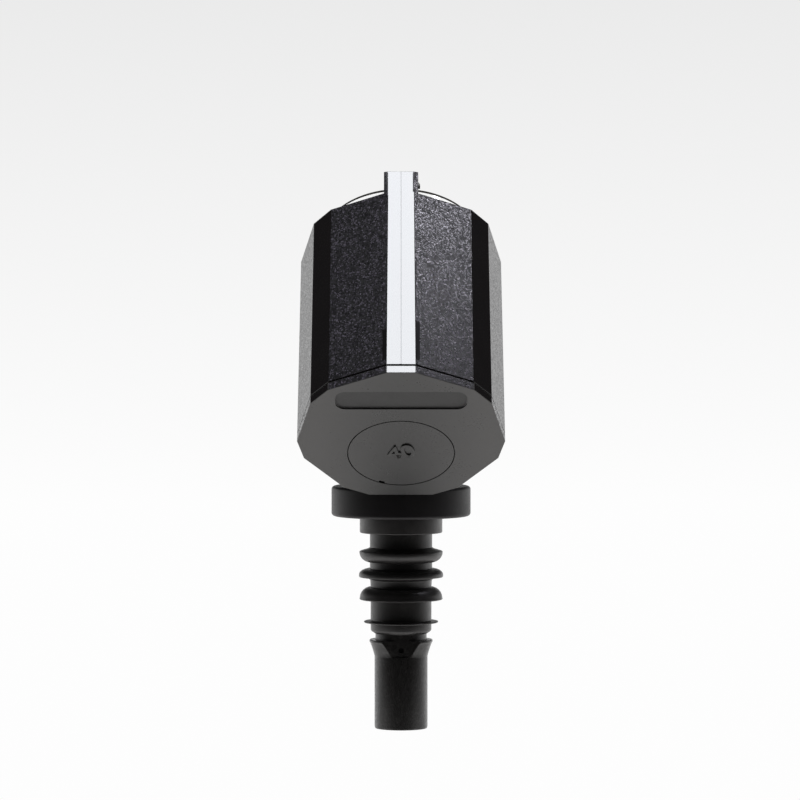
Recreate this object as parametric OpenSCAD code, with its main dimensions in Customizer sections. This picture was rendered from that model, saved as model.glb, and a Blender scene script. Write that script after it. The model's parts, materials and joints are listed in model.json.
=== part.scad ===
// Measured pourer: a faceted measuring chamber that leans over a bottle, on a stopper with sealing lips.
// The origin is the centre of the collar's underside, where it rests on the bottle's lip, with +Z up the
// bottle's axis. The chamber leans towards +Y, so its base face looks towards -Y and down.

/* [Chamber] */
// Radius of the circle through the chamber's corners
chamber_r = 24; // [22.5:0.5:30]
// Length from the base face to the far end face
chamber_len = 53; // [49:1:70]
// Lean of the chamber away from the bottle's axis, in degrees
chamber_tilt = 39.5; // [36:0.5:43]
// Number of wide facets, with as many narrow ones between them
facet_pairs = 7; // [7:2:9]
// Angle that a narrow facet spans at the chamber's axis, in degrees
narrow_angle = 15.8; // [12:0.2:19]
// Thickness of the chamber's side wall
wall = 1.6; // [1.2:0.1:2]
// Thickness of the far end wall
end_wall = 2; // [1.6:0.1:3]
// Distance by which the chamber's lowest edge clears the collar's rim
chamber_reach = 2; // [1.5:0.5:5]
// Distance by which the chamber's lowest edge hangs below the collar's top
chamber_drop = 1.1; // [0:0.1:1.3]

/* [Spout] */
// Width of the spout across its sides
spout_w = 8; // [7.4:0.2:9]
// Depth of the spout from the top facet inwards
spout_depth = 4.7; // [4.5:0.1:6.4]
// Height of the spout above the far end face
spout_rise = 6.3; // [4:0.1:10]
// Thickness of the spout's walls
spout_wall = 1; // [0.8:0.1:1.2]

/* [Base cap] */
// Height of the rim that shows below the seam
cap_rim = 2; // [1.8:0.1:3]
// Height of the seam that the base gasket fills
seam = 0.3; // [0.2:0.05:0.6]
// Distance of the gasket's edge behind the chamber's faces
gasket_inset = 0.4; // [0.2:0.1:0.7]
// Depth of the skirt inside the chamber
skirt_depth = 4.5; // [3:0.5:6]
// Thickness of the skirt
skirt_wall = 1.2; // [0.9:0.1:1.4]
// Length of the bare panel recess
panel_len = 30; // [22:1:34]
// Height of the bare panel recess
panel_h = 6.5; // [5:0.5:7]
// Depth of the bare panel recess
panel_depth = 0.4; // [0.2:0.05:0.6]
// Distance of the panel's middle from the cap's upper edge
panel_edge = 10.4; // [10:0.1:11.5]

/* [Measure plug] */
// Radius of the plug's disc
plug_r = 12.2; // [11:0.1:12.6]
// Thickness of the plug's disc
plug_t = 1.2; // [0.9:0.1:1.4]
// Width of the ledge that the disc rests on
plug_ledge = 0.9; // [0.6:0.1:1.2]
// Wall of the plug's spigot and of the displacer cup
plug_wall = 1.1; // [0.8:0.1:1.4]
// Length of the spigot inside the cup
spigot_grip = 3; // [2:0.5:5]
// Depth of the displacer cup behind the base cap
cup_depth = 11; // [7:0.5:13]
// Gap between the displacer cup and the skirt
cup_gap = 0.9; // [0.2:0.05:1.2]
// Width of the pry notch in the plug's edge
notch_w = 1.4; // [1:0.1:2]
// Depth of the pry notch
notch_depth = 0.6; // [0.3:0.1:0.8]
// Direction of the pry notch from the plug's middle, in degrees
notch_angle = 112; // [0:1:360]

/* [Sight cap] */
// Height of the clear cap above the far end face
sight_h = 5.6; // [3.5:0.1:7]
// Wall of the clear cap
sight_wall = 1.1; // [0.9:0.1:1.5]
// Gap between the clear cap and the back of the spout
sight_gap = 0.3; // [0.2:0.1:1]
// Height of the ring on the far end that the clear cap is pushed over
ring_h = 2.4; // [1.5:0.1:3]
// Wall of that ring
ring_wall = 1.2; // [1:0.1:1.5]
// Thickness of the seal under the clear cap
sight_seal_t = 0.5; // [0.4:0.1:1]
// Radius of the clear cap's rounded edge
sight_round = 0.8; // [0.2:0.1:0.9]

/* [Outlet] */
// Radius of the guide tube's bore
guide_bore_r = 4.7; // [4.3:0.1:5]
// Wall of the guide tube
guide_wall = 0.8; // [0.7:0.1:1]
// Gap between the guide tube and the chamber's top wall
guide_gap = 1; // [0.8:0.1:1.6]
// Gap between the shut-off ball and the guide tube's bore
guide_play = 0.4; // [0.2:0.05:0.6]
// Length of the post inside the guide tube
post_grip = 3; // [2:0.5:5]
// Thickness of the post's cross blades
post_blade = 1.4; // [1:0.1:2]
// Length of the windows in the guide tube
window_len = 8; // [5:0.5:12]
// Width of the windows in the guide tube
window_w = 3; // [2:0.2:4]
// Height of the outlet block
block_h = 10; // [9:0.5:13]
// Wall of the outlet block round the guide tube
block_wall = 0.9; // [0.8:0.1:1.2]
// Length of the guide tube inside the outlet block
block_grip = 3; // [2:0.5:4]
// Radius of the breather tube
breather_r = 1.15; // [1:0.05:1.3]
// Wall of the breather tube
breather_wall = 0.4; // [0.3:0.05:0.5]
// Height of the tube clip
clip_h = 4; // [3:0.5:6]
// Wall of the tube clip
clip_wall = 0.8; // [0.6:0.1:1.1]

/* [Ball seats] */
// Thickness of the soft seat rings
seat_t = 2.2; // [1.6:0.1:2.6]
// Amount by which a seat's hole is smaller in radius than its ball
seat_lap = 1.4; // [1:0.1:1.8]
// Gap at each end of a ball's travel
rest_gap = 0.05; // [0.02:0.01:0.2]

/* [Neck] */
// Radius of the neck between the collar and the chamber
neck_r = 8.5; // [7.6:0.1:9]
// Radius of the tube that the stopper sits on
tube_r = 6.1; // [5.8:0.1:6.4]
// Radius of the bore through the neck
neck_bore_r = 3.8; // [3.2:0.1:4]
// Radius of the neck's wide mouth inside the chamber
mouth_r = 6.5; // [5:0.1:6.8]
// Width of the saddle's flange round the neck
saddle_w = 3; // [2:0.5:3.5]
// Thickness of the saddle's flange
saddle_t = 1.4; // [1:0.1:1.8]
// Thickness of the gasket under the saddle
neck_gasket_t = 0.5; // [0.4:0.1:0.8]

/* [Collar] */
// Radius of the collar
collar_r = 16.5; // [15:0.5:19]
// Height of the collar
collar_h = 7.1; // [5:0.1:9]
// Radius of the collar's rounded edges
collar_round = 0.8; // [0.5:0.1:1.6]
// Depth of the pocket for the stopper's head
pocket_depth = 2; // [1.5:0.1:3]
// Gap between the pocket's side and the widest part of the stopper
pocket_gap = 0.15; // [0.1:0.05:0.4]

/* [Stopper] */
// Radius of the plug land below the collar
land_r = 9.8; // [9:0.1:9.9]
// Length of the plug land
land_len = 4; // [3:0.5:5]
// Step in from the land to the head inside the collar
head_step = 0.2; // [0.1:0.1:0.5]
// Radius of the sealing lips
lip_r = 10; // [9.9:0.1:10.6]
// Radius of the stopper's core
core_r = 7.4; // [6.9:0.1:7.7]
// Depth of the first lip's edge below the collar
first_lip = 8.4; // [7.9:0.1:10]
// Distance from one lip to the next
lip_pitch = 5.55; // [5:0.05:6]
// Thickness of a lip at its edge
lip_edge = 0.6; // [0.4:0.1:0.9]
// Radius of the thin fin
fin_r = 8.8; // [8.2:0.1:9.6]
// Thickness of the thin fin
fin_t = 0.45; // [0.3:0.05:0.7]
// Height of the fin above the stopper's lower end
fin_up = 2.9; // [2:0.1:4]
// Length of the stopper below the collar
stopper_len = 27.9; // [26:0.1:34]
// Chamfer of the stopper's lower edge
stopper_chamfer = 0.6; // [0.3:0.1:0.8]

/* [Stem] */
// Radius of the stem tube
stem_r = 6.3; // [5.9:0.1:6.6]
// Wall of the stem tube
stem_wall = 1.3; // [1:0.1:1.4]
// Length of the stem tube
stem_len = 21.1; // [18:0.1:40]
// Gap that shows between the stopper and the stem's flare
groove = 1.5; // [1:0.1:3]
// Radius of the stem's flared top
flare_r = 7.5; // [7:0.1:8]
// Height of the flare
flare_h = 3.9; // [2.5:0.1:5]
// Height of the band at the flare's top edge
flare_band = 0.5; // [0.3:0.1:1]
// Length of the neck's spigot inside the stem
stem_grip = 3.6; // [3:0.1:5]
// Radius of the snap hole in the flare's flat
snap_r = 0.6; // [0.4:0.1:0.8]
// Depth of the snap hole below the flare's top
snap_down = 2.2; // [2:0.1:3]
// Gap between the stem ball and the stem's bore
stem_play = 0.7; // [0.4:0.05:0.9]
// Height of the ball retainer
retainer_h = 2.5; // [2:0.1:4]
// Wall of the ball retainer's ring
retainer_wall = 0.9; // [0.7:0.1:1.2]
// Width of the retainer's cross bars
bar_w = 1.2; // [0.8:0.1:1.6]
// Thickness of the retainer's cross bars
bar_t = 1; // [0.8:0.1:1.6]

/* [Clearances] */
// Gap between pieces that are pushed together
fit = 0.05; // [0.02:0.01:0.08]

/* [Hidden] */
$fn = 96;
// Overshoot of a cutting shape past the face that it opens
past = 1;
// Length that reaches right through the part
through = 200;

// Section of the chamber
pair_angle = 360 / facet_pairs;
wide_angle = pair_angle - narrow_angle;
narrow_apothem = chamber_r * cos(narrow_angle / 2);
wide_apothem = chamber_r * cos(wide_angle / 2);

// Place of the chamber: its lowest edge sits just in front of the collar
edge_y = -(collar_r + chamber_reach);
edge_z = collar_h - chamber_drop;
base_y = edge_y - wide_apothem * cos(chamber_tilt);
base_z = edge_z + wide_apothem * sin(chamber_tilt);

// Levels along the chamber's axis, from the base face
body_z = cap_rim + seam;
inner_end_z = chamber_len - end_wall;
skirt_z = cap_rim + skirt_depth;

// Base cap and measure plug
skirt_inset = wall + fit;
skirt_inner_inset = skirt_inset + skirt_wall;
spigot_r = plug_r - plug_ledge;
cup_r = spigot_r + fit + plug_wall;
plug_y = wide_apothem - skirt_inner_inset - cup_gap - cup_r;
panel_y = -(narrow_apothem - panel_edge);

// Clear cap on the far end
sight_r = narrow_apothem - spout_depth - sight_gap;
sight_bore_r = sight_r - sight_wall;
ring_r = sight_bore_r - fit;
window_r = ring_r - ring_wall;
ring_top_z = chamber_len + min(ring_h, sight_h - sight_wall - fit);

// Outlet: guide tube, block and shut-off ball
guide_r = guide_bore_r + guide_wall;
guide_y = -(narrow_apothem - wall - guide_gap - guide_r);
guide_z = skirt_z + rest_gap;
post_z = guide_z + post_grip;
block_z = inner_end_z - block_h;
guide_end_z = block_z + block_grip;
block_r = guide_r + fit + block_wall;
shut_ball_r = guide_bore_r - guide_play;
outlet_hole_r = shut_ball_r - seat_lap;
shut_rest_z = post_z + shut_ball_r + rest_gap;
shut_end_z = guide_end_z - sqrt(pow(shut_ball_r, 2) - pow(outlet_hole_r, 2)) - rest_gap;
seat_top_z = guide_end_z + seat_t + fit;
channel_w = spout_w - 2 * spout_wall;
channel_front = narrow_apothem - wall;
channel_back = narrow_apothem - spout_depth + spout_wall;

// Breather tube against the wide facet beside the spout
breather_at = wide_apothem - wall - breather_r - fit;
breather_x = breather_at * sin(pair_angle / 2);
breather_y = -breather_at * cos(pair_angle / 2);
clip_z = (post_z + window_len + guide_end_z - clip_h) / 2;

// Neck, saddle and stem, along the bottle's axis
head_r = land_r - head_step;
pocket_r = max(lip_r, land_r) + pocket_gap;
saddle_r = neck_r + saddle_w;
neck_sag = chamber_r - sqrt(pow(chamber_r, 2) - pow(neck_r, 2));
neck_top = edge_z + (neck_r - edge_y) / tan(chamber_tilt) + (wall + neck_sag) / sin(chamber_tilt);
saddle_top = neck_top + saddle_w / tan(chamber_tilt);
neck_floor = neck_r - mouth_r;
stem_top = -stopper_len - groove;
stem_end = stem_top - stem_len;
stem_bore_r = stem_r - stem_wall;
stem_spigot_r = stem_bore_r - fit;
spigot_end = stem_top - stem_grip;
stem_seat_z = spigot_end - seat_t;
stem_ball_r = stem_bore_r - stem_play;
stem_hole_r = stem_ball_r - seat_lap;
bars_top = stem_end + retainer_h;
stem_rest_z = bars_top + stem_ball_r + rest_gap;
stem_high_z = stem_seat_z - sqrt(pow(stem_ball_r, 2) - pow(stem_hole_r, 2)) - rest_gap;
snap_z = stem_top - snap_down;

echo(base_y = base_y, base_z = base_z, guide_y = guide_y, plug_y = plug_y, sight_r = sight_r);
echo(shut_rest_z = shut_rest_z, shut_travel = shut_end_z - shut_rest_z);
echo(stem_rest_z = stem_rest_z, stem_travel = stem_high_z - stem_rest_z);

black = "#202022";
rubber = "#1b1b1c";
clear = [0.85, 0.9, 0.92, 0.45];
natural = "#d9d7cf";
steel = "#b9bcc0";

// Point where two facets meet, given the direction and distance of each
function facet_corner(angle_a, distance_a, angle_b, distance_b) =
    let (turn = sin(angle_b - angle_a))
    [(distance_a * sin(angle_b) - distance_b * sin(angle_a)) / turn,
     (distance_b * cos(angle_a) - distance_a * cos(angle_b)) / turn];

// Outline of the chamber with every facet moved inwards by inset
function section(inset) = [
    for (pair = [0 : facet_pairs - 1])
        let (middle = -90 + pair * pair_angle)
        each [
            facet_corner(middle - pair_angle / 2, wide_apothem - inset, middle, narrow_apothem - inset),
            facet_corner(middle, narrow_apothem - inset, middle + pair_angle / 2, wide_apothem - inset)
        ]
];

// Points of an arc about a centre
function arc(centre, radius, from, to, steps = 6) = [
    for (step = [0 : steps])
        let (angle = from + (to - from) * step / steps)
        centre + radius * [cos(angle), sin(angle)]
];

// Children drawn in the chamber's own frame: base face at 0, far end along +Z, spout side towards -Y
module in_chamber() {
    translate([0, base_y, base_z])
        rotate([-chamber_tilt, 0, 0])
            children();
}

// Faceted prism between two levels of the chamber
module prism(inset, from, to) {
    translate([0, 0, from])
        linear_extrude(to - from)
            polygon(section(inset));
}

// Tube between two levels
module tube(outer, inner, from, to) {
    translate([0, 0, from])
        difference() {
            cylinder(r = outer, h = to - from);
            translate([0, 0, -past])
                cylinder(r = inner, h = to - from + 2 * past);
        }
}

// Box centred on X between two Y faces and two levels
module slot(width, front, back, from, to) {
    translate([-width / 2, front, from])
        cube([width, back - front, to - from]);
}

// Flat bar with round ends
module bar_outline(length, height) {
    square([length - height, height], center = true);
    for (side = [-1, 1])
        translate([side * (length - height) / 2, 0])
            circle(d = height);
}

// Soft ring that a ball closes
module seat_ring(outer, hole, from) {
    tube(outer, hole, from, from + seat_t);
}

module chamber_body() {
    color(black)
    difference() {
        in_chamber()
        difference() {
            union() {
                prism(0, body_z, chamber_len);
                intersection() {
                    prism(0, inner_end_z, chamber_len + spout_rise);
                    slot(spout_w, -chamber_r, -(narrow_apothem - spout_depth), inner_end_z,
                         chamber_len + spout_rise);
                }
                translate([0, 0, inner_end_z])
                    cylinder(r = ring_r, h = ring_top_z - inner_end_z);
            }
            prism(wall, body_z - past, inner_end_z);
            cylinder(r = window_r, h = through);
            slot(channel_w, -channel_front, -channel_back, inner_end_z - past, through);
            translate([breather_x, breather_y, 0])
                cylinder(r = breather_r + fit, h = through);
        }
        translate([0, 0, edge_z])
            cylinder(r = neck_r + fit, h = neck_top - edge_z);
    }
}

module base_cap() {
    color(black)
    in_chamber() {
        difference() {
            union() {
                prism(0, 0, cap_rim);
                difference() {
                    prism(skirt_inset, 0, skirt_z);
                    prism(skirt_inner_inset, cap_rim, skirt_z + past);
                }
            }
            translate([0, plug_y, -past])
                cylinder(r = plug_r + fit, h = plug_t + past);
            translate([0, plug_y, 0])
                cylinder(r = spigot_r + fit, h = through, center = true);
            translate([0, panel_y, -past])
                linear_extrude(panel_depth + past)
                    bar_outline(panel_len, panel_h);
        }
        ball_post();
    }
}

// Cross-shaped post that carries the guide tube and stops the shut-off ball
module ball_post() {
    translate([0, guide_y, 0])
        intersection() {
            cylinder(r = guide_bore_r - fit, h = post_z);
            for (turn = [0, 90])
                rotate(turn)
                    translate([-guide_r, -post_blade / 2, cap_rim])
                        cube([2 * guide_r, post_blade, post_z - cap_rim]);
        }
}

module base_gasket() {
    color(rubber)
    in_chamber()
    difference() {
        prism(gasket_inset, cap_rim, body_z);
        prism(wall, cap_rim - past, body_z + past);
    }
}

module measure_plug() {
    color(black)
    in_chamber()
    translate([0, plug_y, 0])
    difference() {
        union() {
            cylinder(r = plug_r, h = plug_t);
            tube(spigot_r, spigot_r - plug_wall, 0, cap_rim + spigot_grip);
        }
        rotate(notch_angle)
            translate([plug_r - notch_depth, -notch_w / 2, -past])
                cube([notch_depth + past, notch_w, notch_depth + past]);
    }
}

module displacer_cup() {
    color(natural)
    in_chamber()
    translate([0, plug_y, cap_rim])
    difference() {
        cylinder(r = cup_r, h = cup_depth);
        translate([0, 0, -past])
            cylinder(r = spigot_r + fit, h = cup_depth - plug_wall + past);
    }
}

module sight_cap() {
    seat_z = chamber_len + sight_seal_t;
    top_z = chamber_len + sight_h;
    color(clear)
    in_chamber()
    rotate_extrude()
        polygon(concat(
            [[0, top_z - sight_wall], [sight_bore_r, top_z - sight_wall], [sight_bore_r, seat_z],
             [sight_r, seat_z]],
            arc([sight_r - sight_round, top_z - sight_round], sight_round, 0, 90),
            [[0, top_z]]
        ));
}

module sight_seal() {
    color(rubber)
    in_chamber()
    tube(sight_r - fit, ring_r + fit, chamber_len, chamber_len + sight_seal_t);
}

module guide_tube() {
    color(natural)
    in_chamber()
    translate([0, guide_y, 0])
    difference() {
        tube(guide_r, guide_bore_r, guide_z, guide_end_z);
        for (turn = [45, 135])
            rotate(turn)
                translate([-guide_r - past, -window_w / 2, post_z])
                    cube([2 * (guide_r + past), window_w, window_len]);
    }
}

module shut_off_ball() {
    color(steel)
    in_chamber()
    translate([0, guide_y, shut_rest_z])
        sphere(r = shut_ball_r);
}

module outlet_block() {
    color(black)
    in_chamber()
    difference() {
        intersection() {
            prism(wall + fit, block_z, inner_end_z - fit);
            union() {
                translate([0, guide_y, block_z])
                    cylinder(r = block_r, h = block_h);
                slot(channel_w + 2 * block_wall, -chamber_r, guide_y, block_z, inner_end_z);
            }
        }
        translate([0, guide_y, block_z - past])
            cylinder(r = guide_r + fit, h = block_grip + past);
        translate([0, guide_y, guide_end_z - past])
            cylinder(r = guide_r + fit, h = seat_t + fit + past);
        translate([0, guide_y, seat_top_z - past])
            cylinder(r = channel_w / 2, h = inner_end_z - block_wall - seat_top_z + past);
        slot(channel_w, -chamber_r, guide_y, seat_top_z, inner_end_z - block_wall);
        slot(channel_w, -chamber_r, -channel_back, seat_top_z, through);
    }
}

module outlet_seat() {
    color(rubber)
    in_chamber()
    translate([0, guide_y, 0])
        seat_ring(guide_r, outlet_hole_r, guide_end_z);
}

module breather_tube() {
    color(natural)
    in_chamber()
    translate([breather_x, breather_y, 0])
        tube(breather_r, breather_r - breather_wall, post_z, chamber_len);
}

module tube_clip() {
    reach = norm([breather_x, breather_y - guide_y]);
    heading = atan2(breather_y - guide_y, breather_x);
    color(natural)
    in_chamber()
    difference() {
        intersection() {
            prism(wall + fit, clip_z, clip_z + clip_h);
            union() {
                translate([0, guide_y, clip_z])
                    cylinder(r = guide_r + fit + clip_wall, h = clip_h);
                translate([breather_x, breather_y, clip_z])
                    cylinder(r = breather_r + fit + clip_wall, h = clip_h);
                translate([0, guide_y, clip_z])
                    rotate(heading)
                        translate([0, -breather_r, 0])
                            cube([reach, 2 * breather_r, clip_h]);
            }
        }
        translate([0, guide_y, clip_z - past])
            cylinder(r = guide_r + fit, h = clip_h + 2 * past);
        translate([breather_x, breather_y, clip_z - past])
            cylinder(r = breather_r + fit, h = clip_h + 2 * past);
    }
}

// Shell that follows the chamber's faces, between two distances outside them
module outer_shell(inner, outer) {
    in_chamber()
    difference() {
        prism(-outer, body_z, chamber_len);
        prism(-inner, body_z - past, chamber_len + past);
    }
}

module neck_tube() {
    color(black)
    difference() {
        union() {
            difference() {
                translate([0, 0, collar_h])
                    cylinder(r = neck_r, h = neck_top - collar_h);
                in_chamber()
                    prism(wall, -through, through);
            }
            intersection() {
                outer_shell(neck_gasket_t, neck_gasket_t + saddle_t);
                tube(saddle_r, neck_r - past, collar_h, saddle_top);
            }
            translate([0, 0, stem_top])
                cylinder(r = tube_r, h = collar_h - stem_top);
            translate([0, 0, spigot_end])
                cylinder(r = stem_spigot_r, h = stem_top - spigot_end);
        }
        cylinder(r = neck_bore_r, h = through, center = true);
        translate([0, 0, collar_h + neck_floor])
            cylinder(r = mouth_r, h = through);
    }
}

module neck_gasket() {
    color(rubber)
    intersection() {
        outer_shell(0, neck_gasket_t);
        tube(saddle_r - gasket_inset, neck_r + fit, collar_h, saddle_top);
    }
}

module collar() {
    inner_r = tube_r + fit;
    color(black)
    rotate_extrude()
        polygon(concat(
            [[inner_r, pocket_depth], [pocket_r, pocket_depth], [pocket_r, 0]],
            arc([collar_r - collar_round, collar_round], collar_round, -90, 0),
            arc([collar_r - collar_round, collar_h - collar_round], collar_round, 0, 90),
            [[inner_r, collar_h]]
        ));
}

// Sealing lip that springs from the core and thins towards its edge
module lip(rim_z, above, below) {
    root = core_r - past;
    rotate_extrude()
        polygon([
            [root, rim_z + above], [core_r, rim_z + above], [lip_r, rim_z],
            [lip_r, rim_z - lip_edge], [core_r, rim_z - below], [root, rim_z - below]
        ]);
}

module stopper() {
    lip_rise = (lip_pitch - 2 * lip_edge) / 3;
    fin_z = -stopper_len + fin_up;
    color(rubber)
    difference() {
        union() {
            translate([0, 0, -stopper_len + stopper_chamfer])
                cylinder(r = core_r, h = stopper_len - stopper_chamfer);
            translate([0, 0, -stopper_len])
                cylinder(r1 = core_r - stopper_chamfer, r2 = core_r, h = stopper_chamfer);
            translate([0, 0, -land_len])
                cylinder(r = land_r, h = land_len);
            cylinder(r = head_r, h = pocket_depth - fit);
            lip(-first_lip, lip_edge, 2 * lip_rise);
            lip(-first_lip - lip_pitch, lip_rise, lip_rise + lip_edge);
            lip(-first_lip - 2 * lip_pitch, 2 * lip_rise, lip_edge);
            translate([0, 0, fin_z - fin_t])
                cylinder(r = fin_r, h = fin_t);
        }
        cylinder(r = tube_r + fit, h = through, center = true);
    }
}

module stem_tube() {
    color(black)
    difference() {
        union() {
            translate([0, 0, stem_end])
                cylinder(r = stem_r, h = stem_len);
            translate([0, 0, stem_top - flare_band])
                cylinder(r = flare_r, h = flare_band);
            translate([0, 0, stem_top - flare_h])
                cylinder(r1 = stem_r, r2 = flare_r, h = flare_h - flare_band);
        }
        slot(3 * flare_r, tube_r, 2 * flare_r, stem_top - flare_h, stem_top + past);
        slot(3 * flare_r, -2 * flare_r, -tube_r, stem_top - flare_h, stem_top + past);
        cylinder(r = stem_bore_r, h = through, center = true);
        translate([0, 0, snap_z])
            rotate([90, 0, 0])
                cylinder(r = snap_r, h = through, center = true);
    }
}

module stem_seat() {
    color(rubber)
    seat_ring(stem_spigot_r, stem_hole_r, stem_seat_z);
}

module stem_ball() {
    color(steel)
    translate([0, 0, stem_rest_z])
        sphere(r = stem_ball_r);
}

module ball_retainer() {
    color(natural) {
        tube(stem_spigot_r, stem_spigot_r - retainer_wall, stem_end, bars_top);
        intersection() {
            translate([0, 0, stem_end])
                cylinder(r = stem_spigot_r, h = retainer_h);
            for (turn = [0, 90])
                rotate(turn)
                    slot(bar_w, -stem_r, stem_r, bars_top - bar_t, bars_top);
        }
    }
}

chamber_body();
base_cap();
base_gasket();
measure_plug();
displacer_cup();
sight_cap();
sight_seal();
guide_tube();
shut_off_ball();
outlet_block();
outlet_seat();
breather_tube();
tube_clip();
neck_tube();
neck_gasket();
collar();
stopper();
stem_tube();
stem_seat();
stem_ball();
ball_retainer();
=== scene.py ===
import json
import logging
import math
from contextlib import contextmanager
from dataclasses import dataclass, field
from enum import Enum
from typing import Callable, Iterator, Sequence

import bmesh
import bpy
from mathutils import Matrix, Vector


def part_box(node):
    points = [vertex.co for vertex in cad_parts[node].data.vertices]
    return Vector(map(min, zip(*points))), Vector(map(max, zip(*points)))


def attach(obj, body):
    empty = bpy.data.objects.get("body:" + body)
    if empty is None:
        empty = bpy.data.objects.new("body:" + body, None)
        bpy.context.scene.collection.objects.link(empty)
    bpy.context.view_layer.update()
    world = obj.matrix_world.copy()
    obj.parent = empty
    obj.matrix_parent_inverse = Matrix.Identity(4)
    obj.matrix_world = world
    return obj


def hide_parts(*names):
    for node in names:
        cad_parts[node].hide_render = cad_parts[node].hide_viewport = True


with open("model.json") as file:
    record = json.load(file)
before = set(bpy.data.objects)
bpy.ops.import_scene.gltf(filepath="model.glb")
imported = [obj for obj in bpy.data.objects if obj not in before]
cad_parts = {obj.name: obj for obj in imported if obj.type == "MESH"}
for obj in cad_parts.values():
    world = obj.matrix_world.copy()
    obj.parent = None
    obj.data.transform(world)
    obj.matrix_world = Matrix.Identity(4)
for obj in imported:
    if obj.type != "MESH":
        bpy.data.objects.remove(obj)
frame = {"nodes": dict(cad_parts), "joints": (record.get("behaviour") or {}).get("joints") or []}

log = logging.getLogger("pourer")

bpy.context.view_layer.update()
ROOT_BODY = "pourer"

MM = 0.001
NEAR = 1e-5  # places closer than this count as one
PAST = 1 * MM  # reach of a cutting shape beyond what it cuts
FINE = 1e-7  # how near a fine score passes a corner
SEAM_GAP = 2e-6  # gap that is merged after cutting
ALONG = 0.9  # share of a direction that counts as along an axis
STRAIGHT_ON = 0.99  # share of a direction that counts as straight along it
UPRIGHT = 0.05  # largest share of up in the direction of an upright face
FINE_SIDES = 128  # sides of the round pieces that show large
HOLE_SIDES = 32  # sides of the small holes
SIDEWAYS = Vector((1, 0, 0))
QUARTER_TURN = [math.radians(angle) for angle in range(0, 91, 15)]

Piece = bpy.types.Object
Socket = bpy.types.NodeSocket
Ring = tuple[float, float]
Span = tuple[float, float]
Colour = tuple[float, float, float]
Place = tuple[float, float, float]
Picker = Callable[[Vector, Vector], bool]


class Kind(Enum):
    """What a selection test looks at."""

    VERTS = "VERT"
    EDGES = "EDGE"
    FACES = "FACE"


class Cut(Enum):
    """How a second shape works on a first one."""

    AWAY = "DIFFERENCE"
    JOIN = "UNION"
    KEEP = "INTERSECT"


class Curve(Enum):
    """How a mapped value runs between its ends."""

    STRAIGHT = "LINEAR"
    EASED = "SMOOTHSTEP"


# Bench: the few hand operations that every piece is made with


def clear_selection() -> None:
    """Leaves nothing selected and nothing active."""
    if bpy.context.mode != "OBJECT":
        bpy.ops.object.mode_set(mode="OBJECT")
    bpy.ops.object.select_all(action="DESELECT")
    bpy.context.view_layer.objects.active = None


def take(piece: Piece) -> None:
    """Makes one piece the only selected and active one.

    Args:
        piece: The object to work on.
    """
    clear_selection()
    piece.select_set(True)
    bpy.context.view_layer.objects.active = piece


@contextmanager
def shaping(piece: Piece) -> Iterator[None]:
    """Edit mode on one piece, with nothing selected at the start.

    Args:
        piece: The object whose mesh is worked on.

    Yields:
        Nothing, while the mesh can be worked on.
    """
    take(piece)
    bpy.ops.object.mode_set(mode="EDIT")
    bpy.ops.mesh.select_mode(type="VERT")
    bpy.ops.mesh.select_all(action="DESELECT")
    yield
    bpy.ops.object.mode_set(mode="OBJECT")


def pick(piece: Piece, kind: Kind, test: Picker) -> None:
    """Selects parts of the mesh in edit mode by their middle and their direction.

    Args:
        piece: The object that is in edit mode.
        kind: Whether corners, edges or faces are picked.
        test: Takes a part's middle and direction, which is an edge's own line and otherwise the normal.
    """
    bpy.ops.mesh.select_mode(type=kind.value)
    bpy.ops.mesh.select_all(action="DESELECT")
    mesh = bmesh.from_edit_mesh(piece.data)
    mesh.normal_update()
    if kind is Kind.VERTS:
        parts = [(v, v.co, v.normal) for v in mesh.verts]
    elif kind is Kind.EDGES:
        ends = [(e, e.verts[0].co, e.verts[1].co) for e in mesh.edges]
        parts = [(e, (a + b) / 2, (b - a).normalized()) for e, a, b in ends]
    else:
        parts = [(f, f.calc_center_median(), f.normal) for f in mesh.faces]
    for part, middle, direction in parts:
        part.select_set(test(middle, direction))
    mesh.select_flush_mode()
    bmesh.update_edit_mesh(piece.data)


def soften(piece: Piece, width: float, segments: int, test: Picker) -> None:
    """Rounds the edges that a test picks, in edit mode."""
    pick(piece, Kind.EDGES, test)
    bpy.ops.mesh.bevel(offset=width, segments=segments, affect="EDGES")


def shift(piece: Piece, by: Sequence[float], test: Picker) -> None:
    """Moves the corners that a test picks, in edit mode."""
    pick(piece, Kind.VERTS, test)
    bpy.ops.transform.translate(value=by)


def score(
    piece: Piece, at: Sequence[float], across: Sequence[float], test: Picker, slack: float = 1e-4
) -> None:
    """Cuts an edge into the faces that a test picks, where a plane meets them, in edit mode."""
    pick(piece, Kind.FACES, test)
    bpy.ops.mesh.bisect(plane_co=at, plane_no=across, threshold=slack)


def named(piece: Piece, name: str) -> Piece:
    """Gives a new object and its mesh their name.

    Args:
        piece: The new object.
        name: What it is called.

    Returns:
        The same object.
    """
    piece.name = name
    piece.data.name = name
    return piece


def settle(piece: Piece, place: Matrix | None = None) -> Piece:
    """Puts a piece's place into its mesh, so that the object sits at the origin.

    Args:
        piece: The object to settle.
        place: Where the piece goes, or None to keep it where it is.

    Returns:
        The same object.
    """
    if place is not None:
        piece.matrix_world = place @ piece.matrix_world
    take(piece)
    bpy.ops.object.transform_apply(location=True, rotation=True, scale=True)
    return piece


def close_up(piece: Piece, gap: float = 1e-6) -> None:
    """Merges corners that lie together and turns every face outwards.

    Args:
        piece: The object to close.
        gap: Largest distance of corners that are merged.
    """
    with shaping(piece):
        bpy.ops.mesh.select_all(action="SELECT")
        bpy.ops.mesh.remove_doubles(threshold=gap)
        bpy.ops.mesh.normals_make_consistent(inside=False)


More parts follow.
